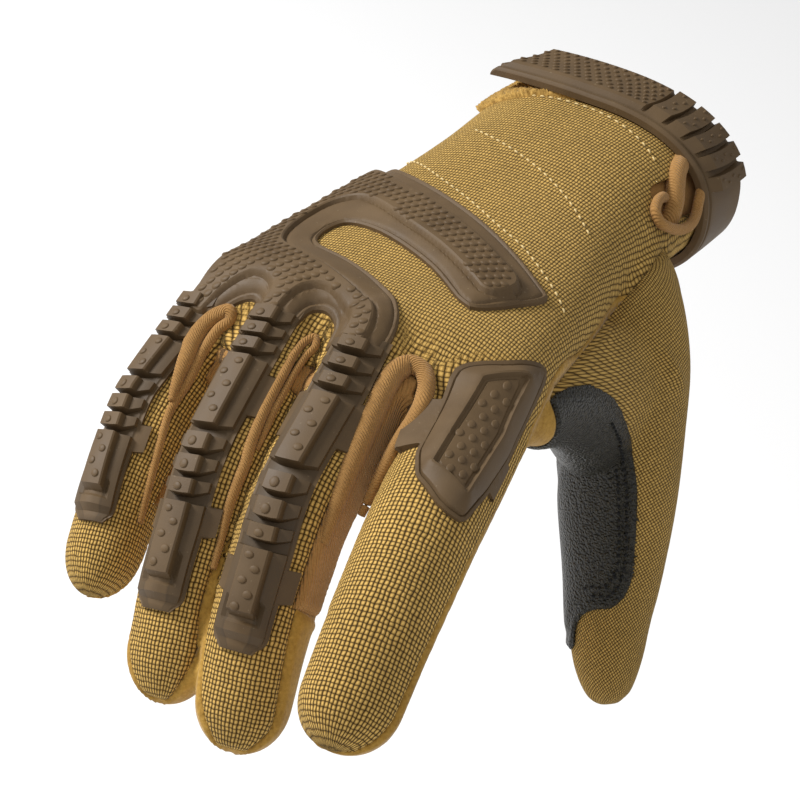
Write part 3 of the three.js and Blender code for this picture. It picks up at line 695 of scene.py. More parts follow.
def form_fields(points):
    """Distances to the seams, above zero inside each panel, and the directions of the threads."""
    x, above, arc, t = hand_coordinates(points)
    names = list(finger)
    near = [finger[name].nearest(points) for name in names]
    s = np.stack([n[0] for n in near], 1)
    angle = np.stack([n[1] for n in near], 1)
    off = np.stack([n[2] for n in near], 1)
    own = np.argmin(off + np.where(s < -8, 40, 0), 1)
    pick = np.arange(len(points))
    own_s, own_angle = s[pick, own], angle[pick, own]
    on_finger = smooth(own_s, -6, 10) * (off[pick, own] < 5)
    turned = (own_angle + 90) % 360 - 90
    above_finger = np.zeros(len(points))
    for i, name in enumerate(names):
        edges = SEAMS[name]
        right = np.interp(s[:, i], *zip(*edges["right"]))
        left = np.interp(s[:, i], *zip(*edges["left"]))
        inside = np.radians(np.minimum(turned - right, left - turned)) * ROUND_FINGER
        above_finger = np.where(own == i, np.minimum(inside, edges["tip"] - s[:, i]), above_finger)
    above += (7 * (1 - smooth(t, 42, 60)) - 3.2 * smooth(t, 98, 112)) * smooth(x, 15, 25)
    seam = mix(above, above_finger, smooth(own_s, -8, 12))
    top, bottom = THUMB_SEAM["top"], THUMB_SEAM["bottom"]
    k = (top[1] - points[:, 1]) / (top[1] - bottom[1])
    edge = mix(top[0], bottom[0], k) + THUMB_SEAM["lean"] * points[:, 2]
    thumb_side = np.minimum.reduce([(points[:, 0] - edge) / 1.15, top[1] - points[:, 1],
                                    points[:, 1] - bottom[1]])
    strips = []
    for left, right, left_reach, right_reach, end, left_low in FOURCHETTES:
        sides = []
        for name, middle, reach in ((left, -left_low, left_reach),
                                    (right, 180 + FOURCHETTE_LOW, right_reach)):
            i = names.index(name)
            away = np.abs((angle[:, i] - middle + 180) % 360 - 180)
            value = np.minimum.reduce([np.radians(reach - away) * ROUND_FINGER,
                                       s[:, i] - FOURCHETTE_START, end - s[:, i]])
            sides.append(np.where(off[:, i] < 3, value, OUTSIDE))
        a, b = (point_on(finger[f].at, finger[f].s, CROTCH["s"]) for f in (left, right))
        c = (a + b) / 2
        box = np.minimum.reduce([
            CROTCH["half"] - np.abs(points[:, 0] - c[0]),
            CROTCH["length"] - np.abs(points[:, 1] - c[1]),
            points[:, 2] - c[2] - CROTCH["low"], c[2] + CROTCH["high"] - points[:, 2]])
        strips.append(np.maximum.reduce([*sides, box]))
    slit_arc = np.interp(np.radians(np.interp(t, *zip(*SLIT["angles"]))), turn, ring_arc)
    slit_arc = (np.interp(np.pi / 2, turn, ring_arc) - slit_arc) * ROUND_CUFF
    beyond = np.maximum(t - (SLIT["depth"] - SLIT["half"]), 0)
    slit = SLIT["half"] - np.hypot(arc - slit_arc, beyond)
    slit = np.where(x > 0, slit, OUTSIDE)
    # Thread directions: across and along the hand, then a finger, then the thumb
    finger_weave = np.stack([np.radians(turned) * 12.2, own_s], 1)
    a, b = np.array(THUMB_AXIS, float)
    way = unit(b - a)
    outward = unit(np.cross((0, -1, 0), way))
    up = np.cross(outward, way)
    d = points - a
    u, v = np.arctan2(d @ up, d @ outward), (d @ way) * 1.2
    u = u * np.interp(v, (0, 40, 100), (18, 16, 11))
    k = math.radians(THUMB_WEAVE_TURN)
    thumb_weave = np.stack([u * math.cos(k) - v * math.sin(k), u * math.sin(k) + v * math.cos(k)], 1)
    across = 0.55 * arc + 0.45 * x
    return np.column_stack([seam, thumb_side, *strips, slit, across, t, finger_weave, on_finger,
                            thumb_weave])


# What the columns of the form's points hold
PLACE, WRIST, NORMAL = slice(0, 3), 1, slice(3, 6)
SEAM, THUMB_SIDE, BETWEEN, SLIT_SIDE = 6, 7, (8, 9, 10), 11
HAND_WEAVE, FINGER_WEAVE, ON_FINGER, THUMB_WEAVE = slice(12, 14), slice(14, 16), 16, slice(17, 19)
form = np.column_stack([form_points, form_normals, form_fields(form_points)])


def split(data, tris, column, level=0.0):
    """The two sides of the line where one column has a value: above it, then below it."""
    data, tris = cut(data, tris, data[:, column].copy(), level)
    middle = data[tris][:, :, column].mean(1) > level
    return data, tris[middle], tris[~middle]


def seam_depth(data, columns):
    near = np.abs(data[:, columns]).min(1)
    return groove(near, 0, 0.75, 0.75) - groove(near, 2.2, 1.1, 0.3)


THUMB_ROWS = 1.35  # rows of the thumb's weave are this much closer than its columns
RIB_SLANT = 0.25  # slant of the ribs in the stretch cloth
GUSSET_MARGIN, GUSSET_DEEP, GUSSET_WALL = 1.6, 2.6, 0.8


def cloth(name, data, tris, columns, look, slot):
    """Panel of cloth, pulled in along the seams in the given columns, with a wall inside."""
    p, t = keep(data, tris)
    at = p[:, PLACE] - unit(p[:, NORMAL]) * seam_depth(p, columns)[:, None]
    obj = mesh_object(name, at, t, look)
    obj.data.materials.append(LINING)
    on_thumb = name == "thumb_shell"
    weave_a = p[:, THUMB_WEAVE] * (1.0, THUMB_ROWS) if on_thumb else p[:, HAND_WEAVE]
    weave_b = p[:, FINGER_WEAVE]
    flat = np.zeros((len(p), 1))
    attribute(obj, "weave_a", np.hstack([weave_a, flat]))
    attribute(obj, "weave_b", np.hstack([weave_b, flat]))
    attribute(obj, "blend", np.zeros(len(p)) if on_thumb else p[:, ON_FINGER])
    attribute(obj, "run", weave_b[:, 0] + RIB_SLANT * weave_b[:, 1])
    thicken(obj, WALL).material_offset = 1
    return ride(obj, name, slot=slot)


def make_cloth():
    data, _, tris = split(form, form_tris, WRIST)
    gusset_data, gusset_tris, _ = split(data, tris, SLIT_SIDE, -GUSSET_MARGIN)
    data, _, tris = split(data, tris, SLIT_SIDE)
    data, thumb_tris, tris = split(data, tris, THUMB_SIDE)
    fourchette_tris = []
    for column in BETWEEN:
        data, inside, tris = split(data, tris, column)
        fourchette_tris.append(inside)
    data, back_tris, palm_tris = split(data, tris, SEAM)
    seams = [SEAM, THUMB_SIDE, *BETWEEN]
    cloth("back_panel", data, back_tris, seams, KNIT, "knit_fabric")
    cloth("thumb_shell", data, thumb_tris, [THUMB_SIDE], KNIT, "knit_fabric")
    cloth("palm_panel", data, palm_tris, seams, SUEDE, "suede")
    for (left, right, *_), inside, column in zip(FOURCHETTES, fourchette_tris, BETWEEN):
        cloth(f"fourchette_{right}_{left}", data, inside, [column], STRETCH, "stretch_trim")
    # Elastic gusset behind the slit of the cuff
    p, t = keep(gusset_data, gusset_tris)
    gusset = mesh_object("slit_gusset", p[:, PLACE] - unit(p[:, NORMAL]) * GUSSET_DEEP, t, STRETCH)
    thicken(gusset, GUSSET_WALL)
    ride(gusset)


# Moulded guards: a height over a flat plan, laid on the form

def grid_plan(a, b):
    """Points of a plan, from grids of its two coordinates, and its triangles."""
    return np.stack([a, b], -1).reshape(-1, 2), triangles(grid_faces(*a.shape))


def plan(low, high, step):
    us, vs = (np.arange(low[k], high[k] + step, step) for k in range(2))
    return grid_plan(*np.meshgrid(us, vs, indexing="ij"))


def relief(name, points, tris, place, heights, look, foot=-0.6, crease=28):
    """Top at the given heights, with a wall round its rim down to the foot."""
    top = place(points[:, 0], points[:, 1], heights)
    probe = place(points[tris[0], 0], points[tris[0], 1], heights[tris[0]] + 1)
    a, b, c = top[tris[0]]
    if np.dot(np.cross(b - a, c - a), probe[0] - a) < 0:
        tris = tris[:, ::-1]
    rim = rim_edges(tris)
    ids = np.unique(rim)
    low = place(points[ids, 0], points[ids, 1], np.full(len(ids), foot))
    index = {int(k): len(top) + i for i, k in enumerate(ids)}
    faces = [tuple(map(int, t)) for t in tris]
    faces += [(int(b), int(a), index[int(a)], index[int(b)]) for a, b in rim]
    return mesh_object(name, np.concatenate([top, low]), faces, look, crease)


def trim(points, tris, distance, levels):
    """Keeps what lies inside an outline, with extra lines at some distances from it."""
    points, tris = cut(points, tris, distance(points), 0.0)
    points, tris = keep(points, tris[distance(points[tris].mean(1)) < 0])
    return scored(points, tris, distance, levels)


def scored(points, tris, distance, levels):
    """Adds lines of edges at some distances from an outline."""
    for level in levels:
        points, tris = cut(points, tris, distance(points), level)
    return points, tris


def staggered(us, vs, shift):
    """Places of dots in rows, with every other row moved along."""
    return np.array([(u + (k % 2) * shift, v) for k, v in enumerate(vs) for u in us])


# Each dot has rings of points, with their share of its radius and of its rise, and a top
DOT_RINGS = ((1.0, 0.0), (0.93, 0.6), (0.7, 0.92))
DOT_SIDES, DOT_SUNK = 12, 0.08


def domes(name, centres, place, radius, rise, base, look, stretch=1.0, tilt=0.0):
    """Low round dots on a base height. Tilt raises the side of each dot that is further along."""
    turns = np.linspace(0, 2 * np.pi, DOT_SIDES + 1)[:-1]
    us, vs, hs, faces = [], [], [], []
    for k, (u, v) in enumerate(centres):
        start = k * (len(DOT_RINGS) * DOT_SIDES + 1)
        for size, share in DOT_RINGS:
            us.append(u + np.cos(turns) * radius * size)
            vs.append(v + np.sin(turns) * radius * size * stretch)
            lean = 1 + tilt * np.sin(turns) * size
            hs.append(base - DOT_SUNK + rise * share * lean)
        us.append([u])
        vs.append([v])
        hs.append([base - DOT_SUNK + rise])
        sides = [(i, (i + 1) % DOT_SIDES) for i in range(DOT_SIDES)]
        for ring in range(start, start + 2 * DOT_SIDES, DOT_SIDES):
            faces += [(ring + i, ring + j, ring + j + DOT_SIDES, ring + i + DOT_SIDES)
                      for i, j in sides]
        last = start + 2 * DOT_SIDES
        faces += [(last + i, last + j, last + DOT_SIDES) for i, j in sides]
    us, vs, hs = map(np.concatenate, (us, vs, hs))
    points = place(us, vs, hs)
    a, b, c = points[list(faces[-1])]
    out = place(us[-1:], vs[-1:], hs[-1:] + 1)[0] - points[-1]
    if np.dot(np.cross(b - a, c - a), out) < 0:
        faces = [f[::-1] for f in faces]
    return mesh_object(name, points, faces, look, 60)


# Chevron and knuckle plate, in section place across the hand and station along it
FLANGE = rounded([
    (38.6, 104.5), (33.3, 101.5), (24.5, 96), (11.7, 88.5), (-0.8, 82), (-12.6, 76.5),
    (-23, 71), (-32, 64), (-37, 68), (-39.5, 78), (-41, 90), (-42.5, 104), (-44.5, 120),
    (-46, 136), (-46, 143.5), (-35, 146), (-34.8, 145), (-32, 142.5), (-28.8, 140.6),
    (-25, 140), (-22.6, 142.5), (-22.6, 147.6), (-9, 149), (-8.9, 143.8), (-8.3, 140.8),
    (-6.2, 139.6), (-3, 140.4), (-0.8, 142.3), (-0.2, 145.5), (-0.2, 148.6), (17.2, 151.6),
    (16.7, 145.5), (15.6, 140.7), (13.2, 136.2), (8.5, 130.9), (2.8, 127.5), (-1.5, 124.8),
    (-10.6, 119.8), (-21, 115.4), (-24.6, 112),
    (-25.4, 107), (-24.6, 102.5), (-22, 100.4), (-14, 102.1), (-5.8, 105.3), (4.6, 110.4),
    (12, 114.6), (18, 119.3), (22, 122.5), (27.5, 124),
])
PLATEAU = rounded([
    (33.1, 108.3), (22.8, 102.9), (9.7, 95.1), (-6.7, 86.9), (-18.8, 81.3), (-28, 74.5),
    (-33, 71), (-36, 76), (-38, 86), (-39.5, 98), (-41, 112), (-42.5, 126), (-43, 140),
    (-42.4, 144.6), (-37.8, 145.4), (-37.5, 143.5), (-35, 140), (-31.3, 137), (-28.1, 135.4),
    (-23.5, 136.5), (-20.6, 139.5), (-19.4, 143), (-19.4, 148.6), (-14.2, 149.4), (-14, 143),
    (-12.9, 138.6), (-10.4, 136.2), (-7, 136), (-2.9, 137.6), (1.6, 140.4), (4.8, 143.6),
    (5.9, 147), (6.2, 151), (12.6, 152.4), (12, 146.5), (9.6, 141.4), (6, 138), (0, 134.8),
    (-9.8, 130.6), (-22, 125), (-28.2, 121), (-32, 116), (-34, 109), (-34.6, 101), (-33.8, 95),
    (-31.4, 91.2), (-25.2, 89.3), (-16.5, 93.2), (-8.6, 98), (7.5, 105.7), (20.5, 113.6),
    (28, 118.8),
])


flange_distance, plateau_distance = distance_to(FLANGE), distance_to(PLATEAU)

# Heights over the cloth: the band round the plateau from its inner to its outer side
BAND_FINGER_SIDE, BAND_CUFF_SIDE, BAND_EDGE = (2.7, 1.35), (1.55, 1.25), 0.9
PLATEAU_HIGH, PLATEAU_WALL = 3.9, 0.55
SIDE_LINE = ((-33, -8, 20, 31), (74, 92, 107, 112))  # parts the cuff side from the finger side
PLATE_DOTS = dict(across=3.1, down=2.25, rows=60, clear=0.95)


def plate_height(p):
    """Band, wall and plateau of the plate. The band on the finger side is a wide bevel."""
    to_edge, to_plateau = -flange_distance(p), plateau_distance(p)
    share = np.clip(to_plateau / np.maximum(to_plateau + to_edge, 0.1), 0, 1)
    bevel = mix(*BAND_FINGER_SIDE, smooth(share, 0.05, 0.95))
    flat = mix(*BAND_CUFF_SIDE, share)
    low = np.where(p[:, 1] < np.interp(p[:, 0], *SIDE_LINE), flat, bevel)
    low -= groove(to_edge, 1.25, 0.32, 0.5)
    low = mix(low, BAND_EDGE, np.clip(1 - to_edge / 0.5, 0, 1))
    wall = np.clip((PLATEAU_WALL - to_plateau) / PLATEAU_WALL, 0, 1)
    high = PLATEAU_HIGH - 0.35 * np.clip(1 + to_plateau / 0.45, 0, 1)
    low = low - groove(to_plateau, 0.7, 0.3, 0.35)
    return np.where(to_plateau > PLATEAU_WALL, low, mix(low, high, wall))


def make_plate():
    p, t = plan((-47, 62), (40, 153), 0.75)
    p, t = trim(p, t, flange_distance, (-0.5, -0.95, -1.25, -1.6))
    p, t = scored(p, t, plateau_distance, (0.9, PLATEAU_WALL, 0.0, -0.45))
    ride(relief("knuckle_guard", p, t, lay_back, plate_height(p), RUBBER, crease=21),
         "knuckle_guard", slot="guard_rubber")
    # Dots in staggered rows that follow the plate's slant
    count, across = PLATE_DOTS["rows"], PLATE_DOTS["across"]
    row, k = np.meshgrid(np.arange(count), np.arange(count), indexing="ij")
    along = k * across + (row % 2) * across / 2 - 60
    down = row * PLATE_DOTS["down"]
    centres = np.stack([-8 + along * 0.86 - 0.5 * (down - 45) * 0.12, 45 + down + along * 0.46], -1)
    centres = centres.reshape(-1, 2)
    centres = centres[plateau_distance(centres) < -PLATE_DOTS["clear"]]
    ride(domes("plate_dots", centres, lay_back, 1.3, 0.55, 3.72, RUBBER, 0.88, 0.85))


# Finger strips: half widths in millimetres across, distances from the knuckle along
STRIPS = {
    "middle": dict(centre=((0, 92), (20, 89), (45, 92), (60, 88), (82, 86)),
                   ribs=(9.8, 15.3, 20.8), pad=(24.6, 44.2), joint=(47.9, 52.4, 57), tip=(60.4, 81.5),
                   tabs=((24, 37), (64, 72)), dots=(27.2, 30.6, 34, 37.4, 40.8),
                   tip_dots=(62.6, 65.6, 68.6, 71.6, 74.4)),
    "ring": dict(centre=((0, 93), (20, 94), (40, 95), (60, 91), (80, 90)),
                 ribs=(7.6, 12.1, 16.7), pad=(19.8, 40), joint=(43.4, 47.8, 52.3), tip=(55.6, 78.6),
                 tabs=((23, 35), (55.8, 63)), dots=(22.3, 25.6, 29, 32.6, 36.2),
                 tip_dots=(58, 61, 64.2, 67.4, 70.4)),
    "pinky": dict(centre=((0, 76), (15, 78), (35, 88), (50, 80), (66, 70)),
                  ribs=(8.6, 13.1, 17.7), pad=(20.4, 31.4), joint=(34.4, 38.8, 43.2), tip=(46, 65.8),
                  tabs=((43.6, 49.6),), dots=(22.5, 26, 29), tip_dots=(48.2, 51.2, 54.2, 57)),
}
RIDGE_HALF, FACET_HALF, FLANGE_HALF, TAB_HALF = 2.7, 5.9, 7.2, 10.2
RIB_HALF = 1.95
TIP_CORNER = 3.0
RIDGE_HIGH, FACET_HIGH, FLANGE_HIGH = 4.3, 2.7, 1.15
STEP = 0.35  # width of the steps at the ends of ribs and pads
RECESS, RECESS_END = 5.5, 4.2  # the recess of the last pad, from the strip's end
TIP_SLOPE, TIP_SLOPE_LENGTH = 1.1, 1.5
TIP_LINES = (RECESS, RECESS_END, 2.6, 2.1, 1.6, TIP_SLOPE, 0.6, 0.2, 0)
# Shares of painted shade on the strips: a little on the rest, more on the facets, most in the grooves
# and the gaps between ribs
PAINTED_SHADE_REST, PAINTED_SHADE_FACET, PAINTED_SHADE_GROOVE = 0.04, 0.28, 0.4
FINGER_RADIUS = 12.4  # turns a distance across a finger into degrees round it


def strip_point(name):
    f, rows = finger[name], np.array(STRIPS[name]["centre"], float)

    def place(s, w, lift):
        degrees = np.interp(s, rows[:, 0], rows[:, 1]) - np.degrees(w / FINGER_RADIUS)
        return lay_finger(f, s, degrees, lift)
    return place


def make_strip(name):
    row = STRIPS[name]
    ribs = [(m - RIB_HALF, m + RIB_HALF) for m in (*row["ribs"], *row["joint"])]
    blocks = [*ribs[:3], row["pad"], *ribs[3:], row["tip"]]
    start, end = row["ribs"][0] - RIB_HALF - 1.9, row["tip"][1]
    lines = {start, *(end - d for d in TIP_LINES)}
    for a, b in blocks:
        lines |= {a, a + STEP, b - STEP, b}
    for a, b in row["tabs"]:
        lines |= {a - 0.15, a + 0.15, b - 0.15, b + 0.15}
    lines = np.array(sorted(lines))
    lines = lines[np.concatenate([[True], np.diff(lines) > 0.12])]
    s = [lines[0]]
    for a, b in zip(lines[:-1], lines[1:]):
        s += list(np.linspace(a, b, max(1, int(np.ceil((b - a) / 1.1))) + 1)[1:])
    s = np.array(s)
    half = [0, 1.2, RIDGE_HALF - STEP, RIDGE_HALF, RIDGE_HALF + 0.45, RIDGE_HALF + 0.9,
            4.6, FACET_HALF - 0.45, FACET_HALF, FACET_HALF + STEP, FACET_HALF + 0.75, FLANGE_HALF]
    w = np.array([-h for h in half[:0:-1]] + half)
    S, W = np.meshgrid(s, w, indexing="ij")
    inside = np.zeros_like(S)
    for a, b in blocks:
        inside = np.maximum(inside, np.clip(np.minimum(S - a, b - S) / STEP, 0, 1))
    A = np.abs(W)
    ridge = np.clip((RIDGE_HALF + 0.45 - A) / 0.45, 0, 1)
    ridge_top = RIDGE_HIGH - 0.3 * np.clip((A - RIDGE_HALF + STEP) / STEP, 0, 1)
    facet = np.clip((FACET_HALF + STEP - A) / STEP, 0, 1)
    facet_top = FACET_HIGH - 0.16 * (A - RIDGE_HALF)
    flange = FLANGE_HIGH - groove(A, FACET_HALF + 0.55, 0.25, 0.35)
    # The ridge of the last pad ends in a small recess
    stop, before = end - RECESS, S < end - RECESS_END
    ridge_on = np.clip((stop - S) / STEP, 0, 1)
    moat = (np.abs(A - RIDGE_HALF - 0.9) < 0.3) & before & (S > row["tip"][0] + 12)
    moat |= (A < RIDGE_HALF + 1.2) & (S > stop - 0.1) & before
    facet_top = np.where(moat, facet_top - 0.7, facet_top)
    # Its rounded end slopes down to the flange
    slope = np.clip((end - TIP_SLOPE - S) / TIP_SLOPE_LENGTH, 0, 1)
    facet_top = mix(FLANGE_HIGH, facet_top, slope)
    body = mix(flange, facet_top, facet)
    body = np.where(ridge_on * ridge > 0, mix(body, ridge_top, ridge * ridge_on), body)
    height = mix(flange, body, inside)
    # Tabs widen the flange, and the tip is rounded
    widen = np.zeros_like(S)
    for a, b in row["tabs"]:
        widen = np.maximum(widen, ((S > a - 0.01) & (S < b + 0.01)).astype(float))
    outer = A > FLANGE_HALF - 0.01
    W = np.where(outer, np.sign(W) * mix(FLANGE_HALF, TAB_HALF, widen), W)
    corner = TIP_CORNER - np.clip(end - S, 0, TIP_CORNER)
    W = W * (1 - (TIP_CORNER - np.sqrt(TIP_CORNER**2 - corner**2)) / FLANGE_HALF)
    # The lower edge of each rib curves up towards its sides
    knots, shares = [start], [0]
    for a, b in blocks[:-1]:
        knots += [a, b]
        shares += [0, 1 if b - a < 5 else 0.6]
    knots += [row["tip"][0], end]
    shares += [0, 0]
    taper = 1.5 * np.clip((A - 1.6) / (FACET_HALF - 1.6), 0, 1) ** 1.3
    along = S - 0.012 * W**2 * (S < end - 6) + 1.0 * (S > end - 0.01)
    along = along - taper * np.interp(S, knots, shares)
    height = np.where(S > end - 0.01, FLANGE_HIGH - 0.15, height)
    strip = relief(f"strip_{name}", *grid_plan(along, W), strip_point(name), height.ravel(), RUBBER)
    # Painted shade: darkest in the grooves beside the ridge and in the gaps between ribs, darker on
    # the facets
    low = np.abs(A - RIDGE_HALF - 0.45) < 0.3
    low |= (inside < 0.5) & (A < FACET_HALF + 0.5)
    painted_shade = np.where((A > RIDGE_HALF + 0.4) & (A < FACET_HALF + 0.3), PAINTED_SHADE_FACET, PAINTED_SHADE_REST)
    painted_shade = np.where(low, PAINTED_SHADE_GROOVE, painted_shade).ravel()
    attribute(strip, "painted_shade", np.pad(painted_shade, (0, len(strip.data.vertices) - len(painted_shade))))
    ride(strip, slot="guard_rubber")
    dots = list(zip(row["dots"], (1, -1, 1, -1, 1)))
    dots += [(s, side * 0.9) for s, side in zip(row["tip_dots"], (-1, 1, -1, 1, -1))]
    dots += [(s + 0.3, -0.2) for s in (*row["ribs"], *row["joint"])]
    ride(domes(f"dots_{name}", dots, strip_point(name), 0.95, 0.42, RIDGE_HIGH, RUBBER))



# Index guard: a bevelled frame with a sunken dotted panel and two wings, in millimetres
# along the finger and across it from its middle
INDEX_OUTLINE = np.array([
    (-6.6, 5.2), (0.5, -0.6), (4.4, -6.2), (6, -7.6), (9, -8.3), (33, -9.3), (35.6, -8.8),
    (41.8, -6.9), (46.8, -0.6), (47.8, 2.4), (47.7, 5.8), (46.4, 7.4), (36, 9.4), (21, 10.8),
    (9, 10.2), (-5, 8), (-7, 6.8),
], float)
INDEX_PANEL = np.array([(8.2, -1.9), (1.9, 3.9), (20.8, 4.8), (42.3, 3.5), (38.7, -3.6),
                        (23, -2.8)], float)
INDEX_WINGS = (((14.8, 30.2), (-15.4, -6)), ((22.5, 34.5), (6, 11.9)))
INDEX_MIDDLE = 80  # degrees round the finger
INDEX_S, INDEX_W = np.arange(-12, 52, 2.0), np.arange(-20, 17, 1.5)


def index_point(s, w, lift):
    return finger["index"].on(s, INDEX_MIDDLE - np.degrees(w / FINGER_RADIUS), lift)


def index_over():
    """Height of the form over the finger's own surface, evened out over the guard."""
    s, w = np.meshgrid(INDEX_S, INDEX_W, indexing="ij")
    base, high = index_point(s, w, 0), index_point(s, w, 10)
    over = ((lay(base, high) - base) * unit(high - base)).sum(-1)
    for _ in range(20):
        e = np.pad(over, 1, mode="edge")
        over = (e[:-2, 1:-1] + e[2:, 1:-1] + e[1:-1, :-2] + e[1:-1, 2:] + 2 * over) / 6
    return over


index_grid = index_over()


def index_place(s, w, lift):
    i = np.clip((s - INDEX_S[0]) / (INDEX_S[1] - INDEX_S[0]), 0, len(INDEX_S) - 1.01)
    j = np.clip((w - INDEX_W[0]) / (INDEX_W[1] - INDEX_W[0]), 0, len(INDEX_W) - 1.01)
    a, b = i.astype(int), j.astype(int)
    p, q, g = i - a, j - b, index_grid
    over = mix(mix(g[a, b], g[a + 1, b], p), mix(g[a, b + 1], g[a + 1, b + 1], p), q)
    return index_point(s, w, lift + over)


frame_distance = distance_to(rounded(INDEX_OUTLINE, 1, 0.12))
panel_distance = distance_to(INDEX_PANEL)
BEVEL_FROM, BEVEL_TO = 1.4, 0.9  # distances from the frame's edge and from the panel
WING_HIGH = 0.95


def index_distance(p):
    d = frame_distance(p)
    for (a, b), (low, high) in INDEX_WINGS:
        wing = np.maximum.reduce([a - p[:, 0], p[:, 0] - b, low - p[:, 1], p[:, 1] - high])
        d = np.minimum(d, wing)
    return d


def index_height(p):
    d, inner = -frame_distance(p), panel_distance(p)
    rim = np.interp(d, (0, 0.8, 1.1, 1.4), (1.0, 1.0, 0.6, 1.5))
    share = np.clip((d - BEVEL_FROM) / np.maximum(d - BEVEL_FROM + inner - BEVEL_TO, 0.1), 0, 1)
    bevel = mix(1.5, 3.6, share)
    panel = np.interp(-inner, (-0.9, -0.45, 0.0, 0.35, 0.7), (3.6, 3.7, 2.7, 2.55, 3.0))
    rise = np.where(inner < BEVEL_TO, panel, np.where(d < BEVEL_FROM, rim, bevel))
    return np.where(d > 0, rise, WING_HIGH)


def make_index_guard():
    p, t = plan((-10, -17), (48, 14), 0.9)
    p, t = trim(p, t, index_distance, ())
    p, t = scored(p, t, frame_distance, (0, -0.8, -1.1, -BEVEL_FROM))
    p, t = scored(p, t, panel_distance, (BEVEL_TO, 0.45, 0.0, -0.35, -0.7))
    ride(relief("index_guard", p, t, index_place, index_height(p), RUBBER, -1.5, 24),
         "index_guard", slot="guard_rubber")
    centres = staggered(np.arange(-1, 44, 8.0), np.arange(-3.2, 4.4, 1.25), 4)
    centres = centres[panel_distance(centres) < -0.75]
    ride(domes("index_dots", centres, index_place, 1.35, 0.4, 2.98, RUBBER, 0.58))


# Wrist strap. Its length is in degrees round the cuff as far as the back's middle, which
# is 90, and beyond that in millimetres along the free end.
STRAP_TURN = 90
STRAP_WIDTH, STRAP_START, STRAP_LIFT, STRAP_THICK = 20.5, 1.2, 0.6, 2.6
STRAP_RIBS = (66, 54.5, 43, 31, 18)
STRAP_TOP = STRAP_LIFT + STRAP_THICK
RIB_REACH, RIB_HIGH, RIB_LINES = 4.8, 2.1, (-4.8, -4.3, -3.4, 0, 3.4, 4.3, 4.8)
TAB_FROM, TAB_TO, TAB_HIGH = 71.7, 118.1, 1.45
BORDER_CUFF, BORDER_HAND = 0.75, 2.9  # flat borders of the strap beside the ribs
STRAP_ROWS = (0, 0.25, 0.6, 0.9, 1.4, 3, 6, 9, 12, 14.4, 15, 15.9, 16.8, 17.6, 17.8, 18, 18.2,
              18.5, 19.2, 19.8, 20.2, 20.5)


def on_strap(along, t, lift):
    along, t, lift = np.broadcast_arrays(along, t, lift)
    round_part = round_hand(t, np.minimum(along, STRAP_TURN), lift)
    top = round_hand(t, np.full(t.shape, STRAP_TURN), lift)
    far = np.maximum(along - STRAP_TURN, 0)
    reach = far / 30
    slant = 5 * (STRAP_WIDTH - t) / STRAP_WIDTH
    straight = top + np.stack([-far + slant * reach, 0 * far, -2 * reach**2], -1)
    return np.where((along > STRAP_TURN)[..., None], straight, round_part)


def strap_height(along, t):
    """Flat band with a rounded lower edge, chamfered ribs and a raised textured tab."""
    low, high = STRAP_START, STRAP_START + STRAP_WIDTH
    edge = np.minimum(t - low, high - t)
    h = STRAP_TOP - 0.9 * np.clip(1 - edge / 0.9, 0, 1) ** 2
    h -= groove(high - t, 2.35, 0.35, 0.9)
    h -= 1.2 * np.clip((along - 118.4) / 1.4, 0, 1)
    from_cuff, from_hand = t - low - BORDER_CUFF, high - BORDER_HAND - t
    inner = (from_cuff > 0) & (from_hand > 0)
    slope = np.clip(from_hand / 2.6, 0, 1) * np.clip(from_cuff / 0.6, 0, 1)
    for m in STRAP_RIBS:
        side = np.clip((RIB_REACH - np.abs(along - m)) / 0.5, 0, 1)
        h = np.where(inner, np.maximum(h, STRAP_TOP + RIB_HIGH * side * slope), h)
    tab = np.clip((along - TAB_FROM) / 0.6, 0, 1) * np.clip((TAB_TO - along) / 0.6, 0, 1)
    tab = TAB_HIGH * tab * np.minimum(slope * 2.2, 1)
    return np.where(inner, np.maximum(h, STRAP_TOP + tab), h)


def make_strap():
    lines = [-130, -118, *np.arange(-112, 10, 3.0), *(m + d for m in STRAP_RIBS for d in RIB_LINES),
             71.4, 72.0, 72.6, *np.arange(75, 117, 2.0), 117.2, 117.8, 118.4, 119.2, 119.8]
    along, t = np.meshgrid(sorted(lines), STRAP_START + np.array(STRAP_ROWS), indexing="ij")
    high = strap_height(along, t).ravel()
    ride(relief("wrist_strap", *grid_plan(along, t), on_strap, high, RUBBER, STRAP_LIFT, 24),
         "wrist_strap", slot="guard_rubber")
    under = on_strap(along.ravel(), t.ravel(), STRAP_LIFT + 0.02)
    ride(mesh_object("strap_underside", under, grid_faces(*along.shape)[:, ::-1], HOOK))
    dots = staggered(np.arange(74.4, 115.6, 3.4), np.arange(3.4, 17.6, 2.1), 1.7)
    ride(domes("strap_dots", dots, on_strap, 0.95, 0.5, STRAP_TOP + 1.38, RUBBER, 0.9, 0.5))
    dots = [(m + (-1) ** k * 1.2, t) for m in STRAP_RIBS
            for k, t in enumerate(np.arange(3.6, 15, 2.7))]
    ride(domes("rib_dots", dots, on_strap, 0.8, 0.4, STRAP_TOP + 2.08, RUBBER))


def on_cuff(degrees, t, lift):
    return round_hand(t, degrees, lift)


def make_hook_patch():
    """Hook and loop patch on the cuff under the strap's free end, with a rough top."""
    rng = np.random.default_rng(7)
    degrees, t = np.meshgrid(np.linspace(96, 152, 108), np.linspace(0, 1, 54), indexing="ij")
    t = 2.5 + t * (18.5 + 3.4 * smooth(degrees, 98, 130))
    high = 1.4 + rng.uniform(-0.6, 0.75, t.shape)
    ride(relief("hook_patch", *grid_plan(degrees, t), on_cuff, high.ravel(), HOOK, crease=180),
         "hook_patch", slot="hook_loop")


# Swept pieces

